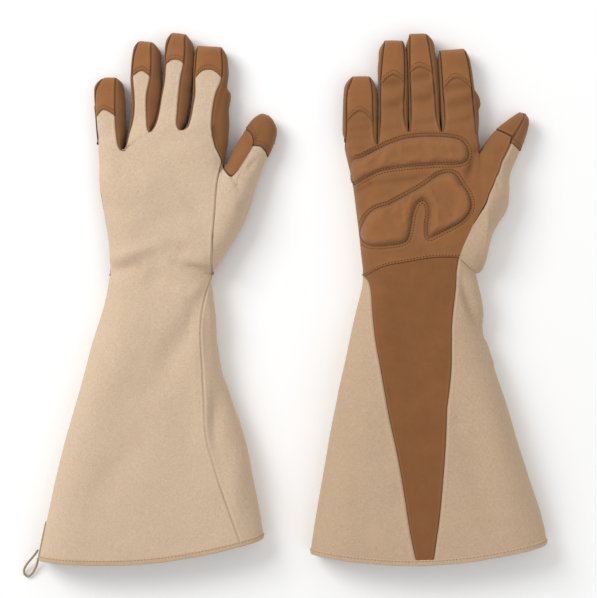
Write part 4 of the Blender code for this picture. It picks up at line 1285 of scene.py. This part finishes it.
def palm_cushions(glove, palm, look):
    loft = 2.6
    for name, node, corners in (("knuckle_cushion", "upper_pad", UPPER_CUSHION),
            ("heel_cushion", "heel_pad", HEEL_CUSHION)):
        obj, outline = cushion(glove, name, corners, loft, palm, look)
        lines = []
        for gap in (0.9, 3.4):
            plan = offset_outline(outline, gap)
            plan = np.concatenate([plan, plan[:1]])
            inside = outline_distance(plan[:, 0], plan[:, 1], outline) < -0.6 * gap
            keep = plan[inside]
            if name == "knuckle_cushion":
                keep = keep[(keep[:, 0] > outline[:, 0].min() + 2)]
            breaks = np.where(np.linalg.norm(np.diff(keep, axis=0), axis=1) > 4)[0] + 1
            for piece in np.split(keep, breaks):
                if len(piece) > 3:
                    points, ups = surface_under(palm, glove, piece, False)
                    if len(points) > 3:
                        lines.append((points, ups))
        stitches = stitch_run(glove, f"{name}_stitches", lines, look["dark_thread"], pitch=2.3, length=1.5,
                radius=0.36, sink=0.05)
        join(obj, stitches)
        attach(obj, f"{glove.name}_hand")
        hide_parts(f"{glove.name}_{node}")


def crotch_wall(glove, look):
    """The stitched side wall from the thumb's crotch up the index finger."""
    finger = glove.fingers["index"]
    t = np.linspace(glove.pattern["split"], 1, 24)
    s = np.linspace(finger.high_root[0], 38.5, 40)[1:]
    off = finger.edge("strip", "high", s)
    edges = []
    for top in (True, False):
        near = glove.hand(t, np.ones_like(t), top)
        far = np.column_stack([finger.plan(s, off), finger.skin(s, off, top)])
        line = np.concatenate([near, far])
        far_along = np.concatenate([[0], np.cumsum(np.linalg.norm(np.diff(line[:, :2], axis=0), axis=1))])
        w = np.linspace(0, 1, 70)
        edges.append(np.column_stack([np.interp(w * far_along[-1], far_along, line[:, a]) for a in range(3)]))
    outer = curve(glove.pattern["wall"], np.linspace(0, 1, 70))
    psi = np.linspace(0, math.pi, 25)
    up, down = edges
    reach = np.sin(psi)[None, :, None] ** 0.8
    plan = up[:, None, :2] + (outer[:, None, :] - up[:, None, :2]) * reach
    c = np.cos(psi)[None, :]
    z = np.where(c > 0, FINGER_MID + (up[:, 2:3] - FINGER_MID) * np.abs(c) ** 0.9,
                 FINGER_MID - (FINGER_MID - down[:, 2:3]) * np.abs(c) ** 0.9)
    core = np.column_stack([up[:, :2] - (outer - up[:, :2]), np.full(len(up), FINGER_MID)])[:, None, :]
    patch = Patch(np.concatenate([plan, z[..., None]], -1), core)
    along = arc(patch.grid, 0)
    side_gap = from_edges(patch.grid, "we")
    ribs = bell(side_gap - 2.6, 2.0) * np.clip(from_edges(patch.grid, "sn") / 6, 0, 1)
    # The ribbed bands beside the edges also get painted shade in their colour.
    patch.lift(0.16 * np.sin(along * math.tau / 1.9) * ribs - 0.5 * bell(side_gap - 5.2, 1.0), 0.25 * ribs)
    patch.wander(0.3, 11, 41)
    patch.tuck("wen", 0.7, 0.8, 0.35)
    obj = sew(glove, "crotch_wall", [patch], look["side_suede"], LEATHER)
    glove.spot(*finger.plan(max(finger.high_root[0], finger.low_root[0], 0.0), 0.0))
    glove.spot(*finger.plan(max(finger.high_root[0], finger.low_root[0], 0.0) + 14, 0.0))
    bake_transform(obj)
    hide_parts(f"{glove.name}_crotch_patch")


# ------------------------------------------------------------------ fingers

def finger_strip(finger, top, count=17):
    """The strip of a finger's back or front, from the crotches to its cap seam."""
    v, u = packed(44, "low", 1.5)[:, None], packed(count, "both", 1.3)[None, :]
    cap = finger.pattern["cap"]
    ends = curve(cap, np.array([0.0, 1.0]))
    low = finger.low_root[0] + (ends[0] - finger.low_root[0]) * v
    high = finger.high_root[0] + (ends[1] - finger.high_root[0]) * v
    low_off, high_off = finger.edge("strip", "low", low), finger.edge("strip", "high", high)
    peak = curve(cap, u) - (ends[0] + (ends[1] - ends[0]) * u)
    s = low + (high - low) * u + peak * ease((v - 0.35) / 0.65)
    off = low_off + (high_off - low_off) * u
    z = finger.skin(s, off, top)
    grid = np.concatenate([finger.plan(s, off), z[..., None]], -1)
    tail = grid[:1] - np.array([finger.up[0] * 1.6, finger.up[1] * 1.6, 0.9 if top else -0.9])
    return np.concatenate([tail, grid]), np.concatenate([s[:1] - 1.6, s]), np.concatenate([off[:1], off])


def finger_core(finger, s):
    """Points inside the finger beside the places s along it."""
    middle = (finger.edge("outer", "low", s) + finger.edge("outer", "high", s)) / 2
    return np.concatenate([finger.plan(s, middle), np.full((*np.shape(s), 1), FINGER_MID)], -1)


def strip_piece(finger, top, back, look):
    glove = finger.glove
    grid, s, _ = finger_strip(finger, top)
    patch = Patch(grid, finger_core(finger, s))
    hold = np.clip(from_edges(patch.grid, "wesn") / 3.5, 0, 1)
    if not back:
        seed = FINGERS.index(finger.name)
        tilt = patch.grid @ np.array([finger.side[0], finger.side[1], 0]) * 0.12
        along = (patch.grid[..., 0] - finger.root[0]) * finger.up[0] + (patch.grid[..., 1]
                - finger.root[1]) * finger.up[1]
        ends = curve(finger.pattern["cap"], 0.5)
        folds = np.zeros(along.shape)
        for place, width, depth in ((ends - 7.5, 3.2, -1.1), (ends * 0.52, 3.6, -1.0),
                (ends * 0.52 + 7, 5.0, 0.7), (9.0, 3.0, -0.8)):
            folds = folds + 1.35 * depth * bell(along - place
                    - (0.6 * np.sin(seed * 2.1) + tilt - tilt.mean()), width)
        # Painted shade goes into the valleys of the folds.
        patch.lift(folds * hold, np.clip(-folds * 0.2, 0, 1) * hold)
    patch.wander(0.2, 9, 51 + FINGERS.index(finger.name))
    patch.tuck("we", 0.6, 0.75, 0.28)
    name = f"{finger.name}_{'tongue' if back else 'face'}"
    obj = sew(glove, name, [patch], look["canvas"] if back else look["suede"], LEATHER)
    if back:
        for side in "we":
            join(obj, edge_bead(finger, patch, side, look))
    finger_blend(finger, obj)
    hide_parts(f"{glove.name}_{finger.name}_{'back' if back else 'front'}")
    return patch


def edge_bead(finger, patch, side, look):
    """The turned suede edge that shows as a thin line beside the canvas tongue."""
    points, ups = patch.line(side, 0.05)
    if len(points) < 4:
        return None
    return bead(finger.glove, f"{finger.name}_edge", points + ups * 0.12, 0.42, look["side_suede"])


def finger_sides(finger, look):
    """The finger's side walls, which run up under the cap to its tip."""
    glove = finger.glove
    patches = []
    for side in ("low", "high"):
        at_crotch = finger.crotches[side == "high"]
        start = (finger.low_root[0] if side == "low" else finger.high_root[0]) + (0 if at_crotch else 5.5)
        s = (start + (finger.length - start) * packed(64, "both", 1.5))[:, None]
        psi = np.linspace(0, math.pi, 23)[None, :]
        inner = finger.edge("strip", side, s)
        outer = finger.edge("outer", side, s)
        sign = -1 if side == "low" else 1
        outer = inner + sign * np.maximum(sign * (outer - inner), 0.4)
        if not at_crotch:
            outer = inner + (outer - inner) * ease((s - start) / 8 + 0.05)
        up, down = finger.skin(s, inner, True), finger.skin(s, inner, False)
        c, reach = np.cos(psi), np.sin(psi) ** 0.85
        off = inner + (outer - inner) * reach
        z = np.where(c > 0, FINGER_MID + (up - FINGER_MID) * np.abs(c) ** 0.9,
                FINGER_MID - (FINGER_MID - down) * np.abs(c) ** 0.9)
        grid = np.concatenate([finger.plan(np.broadcast_to(s, off.shape), off), z[..., None]], -1)
        patch = Patch(grid, finger_core(finger, s))
        patch.wander(0.22, 8, 61 + FINGERS.index(finger.name) * 2 + (side == "high"))
        patch.tuck("we", 0.45, 0.75, 0.22, 0.8, hold=np.clip(from_edges(patch.grid, "n") / 5 - 0.3, 0, 1))
        patches.append(patch)
    obj = sew(glove, f"{finger.name}_sides", patches, look["side_suede"], LEATHER)
    finger_blend(finger, obj)
    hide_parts(f"{glove.name}_{finger.name}_gusset")


def finger_cap(finger, look):
    """The boxed tip cap: a strip over the tip with its folded ends stitched down twice."""
    glove = finger.glove
    u = packed(19, "both", 1.3)[None, :]
    cap = curve(finger.pattern["cap"], u)
    grids = []
    for top in (True, False):
        q = packed(38, "both", 1.5)[:, None]
        s = cap + (finger.length - cap) * q
        low, high = finger.edge("strip", "low", s), finger.edge("strip", "high", s)
        off = low + (high - low) * u
        grid = np.concatenate([finger.plan(s, off), finger.skin(s, off, top)[..., None]], -1)
        grids.append(grid if top else grid[::-1])
    joined = np.concatenate([grids[0], grids[1][1:]])
    middle = finger_core(finger, np.full(joined.shape[:2], finger.length - 14.0))
    patch = Patch(joined, middle)
    ends = from_edges(patch.grid, "sn")
    patch.lift(0.62 * np.clip(1.15 - ends / 14, 0.35, 1) * np.clip(from_edges(patch.grid, "we") / 1.6, 0, 1))
    patch.wander(0.14, 8, 71 + FINGERS.index(finger.name))
    patch.tuck("we", 0.45, 0.7, 0.25, 0.8, hold=np.clip((ends.max() - ends) / 5 - 0.3, 0, 1))
    patch.tuck("sn", 0.25, 0.45, 0.35, 1.0)
    obj = sew(glove, f"{finger.name}_cap", [patch], look["cap_suede"], LEATHER + 0.2)
    lines = []
    for side in "sn":
        for gap in (1.5, 3.9):
            points, ups = patch.line(side, gap)
            lines.append((points[2:-2], ups[2:-2]))
    join(obj, stitch_run(glove, f"{finger.name}_cap_stitches", lines, look["dark_thread"], pitch=1.75,
            length=1.1, radius=0.27))
    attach(obj, f"{glove.name}_{finger.name}")
    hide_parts(f"{glove.name}_{finger.name}_tip_cap")


# ------------------------------------------------------------------ thumb

def thumb_patch(glove, k, s, top, folds=(), seed=81):
    grid = glove.thumb(k, s, top)
    centre = glove.thumb(np.clip(k, 0.4, 7), np.full_like(k, 0.5), top)
    centre[..., 2] = SEAM_Z - 2
    patch = Patch(grid, centre)
    if folds:
        hold = np.clip(from_edges(patch.grid, "we") / 4, 0, 1)
        patch.lift(creases(patch.grid[..., 0], patch.grid[..., 1], folds) * hold)
    return patch.wander(0.25, 13, seed)


def thumb_pieces(glove, look):
    """Canvas back, suede front and the cap of the thumb."""
    pattern, palm_up = glove.pattern, glove.palm_up
    s = packed(46, "both", 1.5)[None, :]
    v = packed(60, "both", 1.25)[:, None]
    canvas = look["side_canvas"] if palm_up else look["canvas"]
    cloth, leather, lines = [], [], []
    if palm_up:
        cloth.append(thumb_patch(glove, 5 * v + 0 * s, s + 0 * v, False).tuck("e", 0.3, 1.0, 0.0, 0.4))
        strip_end = lambda k: straight(pattern["leather_strip"], k)
        k = 4.4 * v + 0 * s
        share = strip_end(k) + (1 - strip_end(k)) * s
        strip = thumb_patch(glove, k, share, True, THUMB_CLOTH_FOLDS, 83)
        cloth.append(strip.tuck("w", 0.7, 0.9, 0.25))
        k = 5 * v + 0 * s
        front = thumb_patch(glove, k, strip_end(k) * s, True, (), 85)
        leather.append(front.tuck("en", 0.7, 0.9, 0.3))
    else:
        kmax = straight(pattern["thumb_back_edge"], s)
        strip = thumb_patch(glove, kmax * v, s + 0 * v, True, THUMB_CLOTH_FOLDS, 83)
        strip.tuck("n", 0.6, 0.8, 0.3)
        strip.tuck("s", 0.5, 0.8, 0.2)
        cloth.append(strip)
        leather.append(thumb_patch(glove, 5 * v + 0 * s, s + 0 * v, False, (), 85))
        inner = pattern["leather_share"] * s
        start, end = straight(pattern["thumb_back_edge"], inner), straight(pattern["thumb_leather_end"],
                inner)
        inlay = thumb_patch(glove, start + (end - start) * v, inner + 0 * v, True, (), 87)
        leather.append(inlay.tuck("sne", 0.6, 0.8, 0.3))
    obj = sew(glove, "thumb_cloth", cloth, canvas, LEATHER)
    thumb_blend(glove, obj)
    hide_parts(f"{glove.name}_thumb_back")
    obj = sew(glove, "thumb_leather", leather, look["suede"], LEATHER)
    thumb_blend(glove, obj)
    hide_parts(f"{glove.name}_thumb_front")
    # cap
    if palm_up:
        start = straight(((0, 5), (0.575, 5.0), (0.60, 4.42), (1, 4.4)), s)
        seam_line = 0.585
    else:
        start = straight(((0, 5.0), (0.15, 4.95), (0.3, 4.8), (0.41, 4.55), (0.475, 4.22), (0.7, 4.42),
                (0.9, 4.3), (1, 4.1)), s)
        seam_line = None
    upper = glove.thumb(start + (8 - start) * v, s + 0 * v, True)
    lower = glove.thumb(5 + 3 * v + 0 * s, s + 0 * v, False)
    grid = np.concatenate([upper, lower[::-1][1:]])
    centre = glove.thumb(np.full(grid.shape[:2], 5.8), np.full(grid.shape[:2], 0.5), True)
    centre[..., 2] = 9.5
    patch = Patch(grid, centre)
    patch.lift(0.5 * np.clip(1.2 - from_edges(patch.grid, "sn") / 16, 0.2, 1))
    if seam_line:
        k_all = np.concatenate([start + (8 - start) * v, np.zeros((len(v) - 1, s.shape[1]))])
        s_all = np.broadcast_to(s, grid.shape[:2])
        if patch.turned:
            k_all, s_all = k_all[:, ::-1], s_all[:, ::-1]
        across = np.where(k_all > 0, np.abs(s_all - seam_line - 0.02 * (k_all - 5)) * 25, 99)
        # The cap's seam groove gets painted shade, and the ridge beside it gets a rubbed lighter tone.
        patch.lift(-0.7 * bell(across, 0.9) + 0.3 * bell(across - 2, 0.9),
                0.9 * bell(across, 0.9) - 0.3 * bell(across - 2, 0.8))
    patch.wander(0.2, 10, 89)
    patch.tuck("sn", 0.3, 0.5, 0.25, 0.9)
    obj = sew(glove, "thumb_cap", [patch], look["thumb_suede"], LEATHER + 0.2)
    for gap in (1.5, 3.9):
        points, ups = patch.line("s", gap)
        if palm_up:
            keep = points[:, 0] > CAP_SEAM_X
            points, ups = points[keep], ups[keep]
        lines.append((points[2:-2], ups[2:-2]))
    join(obj, stitch_run(glove, "thumb_cap_stitches", lines, look["dark_thread"], pitch=1.8, length=1.1,
            radius=0.26))
    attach(obj, f"{glove.name}_thumb")
    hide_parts(f"{glove.name}_thumb_tip_cap")


# ------------------------------------------------------------------ hanging loop

LOOP_ROUTE = (
    (-98.6, -219.6, 11.5), (-101.0, -223.2, 10.2), (-104.6, -227.4, 7.4), (-108.4, -232.0, 4.4),
    (-110.9, -236.6, 2.4), (-110.6, -240.6, 1.6), (-107.6, -242.2, 1.6), (-104.2, -239.6, 1.9),
    (-101.6, -235.0, 3.0), (-99.8, -230.4, 5.4), (-98.9, -226.8, 8.2))


def hang_loop(look):
    """The cord loop at the left hem's outer corner and the tape that holds it."""
    glove = GLOVES["left"]
    places = np.array(LOOP_ROUTE)
    share = np.linspace(0, len(places) - 1, 31)
    route = glove.world(curve([(i, tuple(p)) for i, p in enumerate(places)], share))
    data = bpy.data.curves.new("left_loop_cord", "CURVE")
    data.dimensions = "3D"
    data.bevel_depth = 0.9 * MM
    data.bevel_resolution = 3
    data.use_fill_caps = True
    spline = data.splines.new("POLY")
    spline.points.add(len(route) - 1)
    for target, place in zip(spline.points, route):
        target.co = (*place, 1.0)
    data.materials.append(look["loop"])
    obj = bpy.data.objects.new("left_loop_cord", data)
    bpy.context.scene.collection.objects.link(obj)
    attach(obj, "left_cuff")
    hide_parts("left_hang_loop")
    t = np.linspace(-1.0, -0.875, 14)
    edge = glove.cuff(t, np.zeros_like(t), True)
    edge = np.concatenate([edge[:1] + np.array([[-0.6, -3.6, 0]]), edge])
    across = np.linspace(-1, 1, 7)
    grid = np.array([[point + np.array([-0.75 + 0.25 * a * a + (0.9 if a > 0 else 0.3) * abs(a) ** 2, 0,
            2.6 + a * 1.5]) for a in across] for point in edge])
    patch = Patch(grid, np.array([0, -200, 12]))
    tape = sew(glove, "loop_tape", [patch], look["loop"], 0.5)
    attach(tape, "left_cuff")


# ------------------------------------------------------------------ add-on

class GloveSizes(bpy.types.PropertyGroup):
    canvas: bpy.props.FloatVectorProperty(
        name="Canvas", description="Colour of the canvas on the hand and the back", subtype="COLOR",
        size=3, min=0, max=1, default=(0.625, 0.48, 0.345))
    side_canvas: bpy.props.FloatVectorProperty(
        name="Side Canvas", description="Colour of the palm side's cuff panels", subtype="COLOR",
        size=3, min=0, max=1, default=(0.535, 0.387, 0.262))
    suede: bpy.props.FloatVectorProperty(
        name="Suede", description="Colour of the palm and finger fronts", subtype="COLOR",
        size=3, min=0, max=1, default=(0.255, 0.105, 0.0355))
    stripe: bpy.props.FloatVectorProperty(
        name="Stripe", description="Colour of the dark stripe on the cuff", subtype="COLOR",
        size=3, min=0, max=1, default=(0.211, 0.085, 0.028))


class GLOVES_OT_cuffs(bpy.types.Operator):
    """Sew the back panels, cuff panels and rolled hems"""
    bl_idname = "gloves.cuffs"
    bl_label = "Cuffs and Backs"

    def execute(self, context):
        for glove in GLOVES.values():
            back_cloth(glove, LOOK)
            cuff_panels(glove, LOOK)
            rolled_hem(glove, LOOK)
        return {"FINISHED"}


class GLOVES_OT_palms(bpy.types.Operator):
    """Sew the palms with their quilted pads and the side walls by the thumbs"""
    bl_idname = "gloves.palms"
    bl_label = "Palms and Pads"

    def execute(self, context):
        for glove in GLOVES.values():
            palm = palm_leather(glove, LOOK)
            palm_cushions(glove, palm, LOOK)
            crotch_wall(glove, LOOK)
        return {"FINISHED"}


class GLOVES_OT_fingers(bpy.types.Operator):
    """Sew the fingers: canvas tongues, suede fronts, side walls and boxed tip caps"""
    bl_idname = "gloves.fingers"
    bl_label = "Fingers"

    def execute(self, context):
        for glove in GLOVES.values():
            for finger in glove.fingers.values():
                strip_piece(finger, not glove.palm_up, True, LOOK)
                strip_piece(finger, glove.palm_up, False, LOOK)
                finger_sides(finger, LOOK)
                finger_cap(finger, LOOK)
        return {"FINISHED"}


class GLOVES_OT_thumbs(bpy.types.Operator):
    """Sew the thumbs"""
    bl_idname = "gloves.thumbs"
    bl_label = "Thumbs"

    def execute(self, context):
        for glove in GLOVES.values():
            thumb_pieces(glove, LOOK)
        return {"FINISHED"}


class GLOVES_OT_loop(bpy.types.Operator):
    """Sew the hanging loop to the left hem"""
    bl_idname = "gloves.loop"
    bl_label = "Hanging Loop"

    def execute(self, context):
        hang_loop(LOOK)
        return {"FINISHED"}


class GLOVES_OT_stage(bpy.types.Operator):
    """Set the floor, the lights and the camera"""
    bl_idname = "gloves.stage"
    bl_label = "Stage"

    def execute(self, context):
        scene = context.scene
        bpy.ops.mesh.primitive_plane_add(size=8.0, location=(0, 0, -0.0004))
        floor = context.object
        floor.name = "floor"
        paper = bpy.data.materials.new("paper")
        paper.use_nodes = True
        paper.node_tree.nodes["Principled BSDF"].inputs["Base Color"].default_value = (0.99, 0.99, 0.99, 1)
        paper.node_tree.nodes["Principled BSDF"].inputs["Roughness"].default_value = 0.9
        floor.data.materials.append(paper)
        floor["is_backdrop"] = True
        low, high = CAD_BOX
        middle = ((low[0] + high[0]) / 2, (low[1] + high[1]) / 2)
        bpy.ops.object.camera_add(location=(middle[0] + CAMERA_SHIFT[0], middle[1] + CAMERA_SHIFT[1],
                CAMERA_HEIGHT), rotation=(0, 0, 0))
        camera = context.object
        camera.data.sensor_width = 36
        camera.data.lens = 36 * (CAMERA_HEIGHT - 0.015) / VIEW_WIDTH
        camera.data.clip_end = 20
        scene.camera = camera
        for name, place, size, power in (
                ("key", (-1.3, 1.0, 1.4), 1.1, 27), ("fill", (1.3, -0.6, 1.8), 1.8, 6.5)):
            bpy.ops.object.light_add(type="AREA", location=place)
            light = context.object
            light.name = name
            light.data.size = size
            light.data.energy = power
            light.rotation_euler = (-Vector(place)).to_track_quat("-Z", "Y").to_euler()
        world = bpy.data.worlds.new("studio")
        world.use_nodes = True
        world.node_tree.nodes["Background"].inputs["Color"].default_value = (1, 1, 1, 1)
        world.node_tree.nodes["Background"].inputs["Strength"].default_value = 0.61
        scene.world = world
        scene.view_settings.view_transform = "Standard"
        return {"FINISHED"}


CAMERA_HEIGHT = 1.5
VIEW_WIDTH = 0.4784
CAMERA_SHIFT = (0.0118, 0.0054)


class GLOVES_PT_panel(bpy.types.Panel):
    """Buttons for the gloves"""
    bl_label = "Gloves"
    bl_idname = "GLOVES_PT_panel"
    bl_space_type = "VIEW_3D"
    bl_region_type = "UI"
    bl_category = "Gloves"

    def draw(self, context):
        for name in ("canvas", "side_canvas", "suede", "stripe"):
            self.layout.prop(context.scene.glove_sizes, name)
        for operator in STEPS:
            self.layout.operator(operator.bl_idname)


STEPS = (GLOVES_OT_stage, GLOVES_OT_loop, GLOVES_OT_cuffs, GLOVES_OT_palms, GLOVES_OT_fingers,
        GLOVES_OT_thumbs)
CLASSES = (GloveSizes, *STEPS, GLOVES_PT_panel)
LOOK = {}


def register():
    for one in CLASSES:
        bpy.utils.register_class(one)
    bpy.types.Scene.glove_sizes = bpy.props.PointerProperty(type=GloveSizes)


def unregister():
    del bpy.types.Scene.glove_sizes
    for one in reversed(CLASSES):
        bpy.utils.unregister_class(one)


def prepare():
    """The finishes, from the colours that the panel holds."""
    sizes = bpy.context.scene.glove_sizes
    canvas, side, suede, stripe = (tuple(getattr(sizes, n)) for n in ("canvas", "side_canvas", "suede",
            "stripe"))
    LOOK["canvas"] = canvas_finish("canvas", canvas)
    LOOK["side_canvas"] = canvas_finish("side_canvas", side)
    LOOK["hem"] = canvas_finish("hem_canvas", scaled(side, 1.0))
    LOOK["suede"] = suede_finish("suede", suede)
    LOOK["pad"] = suede_finish("pad_suede", scaled(suede, 1.04))
    LOOK["cap_suede"] = suede_finish("cap_suede", scaled(suede, 1.07))
    LOOK["thumb_suede"] = suede_finish("thumb_suede", scaled(suede, 0.9))
    LOOK["side_suede"] = suede_finish("side_suede", scaled(suede, 0.8))
    LOOK["stripe"] = suede_finish("stripe_suede", stripe)
    LOOK["dark_thread"] = thread_finish("dark_thread", scaled(suede, 0.28))
    LOOK["canvas_thread"] = thread_finish("canvas_thread", (0.36, 0.23, 0.14))
    LOOK["loop"] = thread_finish("loop_tape", (0.36, 0.25, 0.17))


def main():
    register()
    prepare()
    bpy.ops.object.select_all(action="DESELECT")
    for step in STEPS:
        area, name = step.bl_idname.split(".")
        getattr(getattr(bpy.ops, area), name)()
    bpy.ops.object.select_all(action="DESELECT")
    low, high = CAD_BOX
    now_low, now_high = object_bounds()
    {"cad": [list(low), list(high)], "visual": [list(now_low), list(now_high)]}


if __name__ == "__main__":
    main()
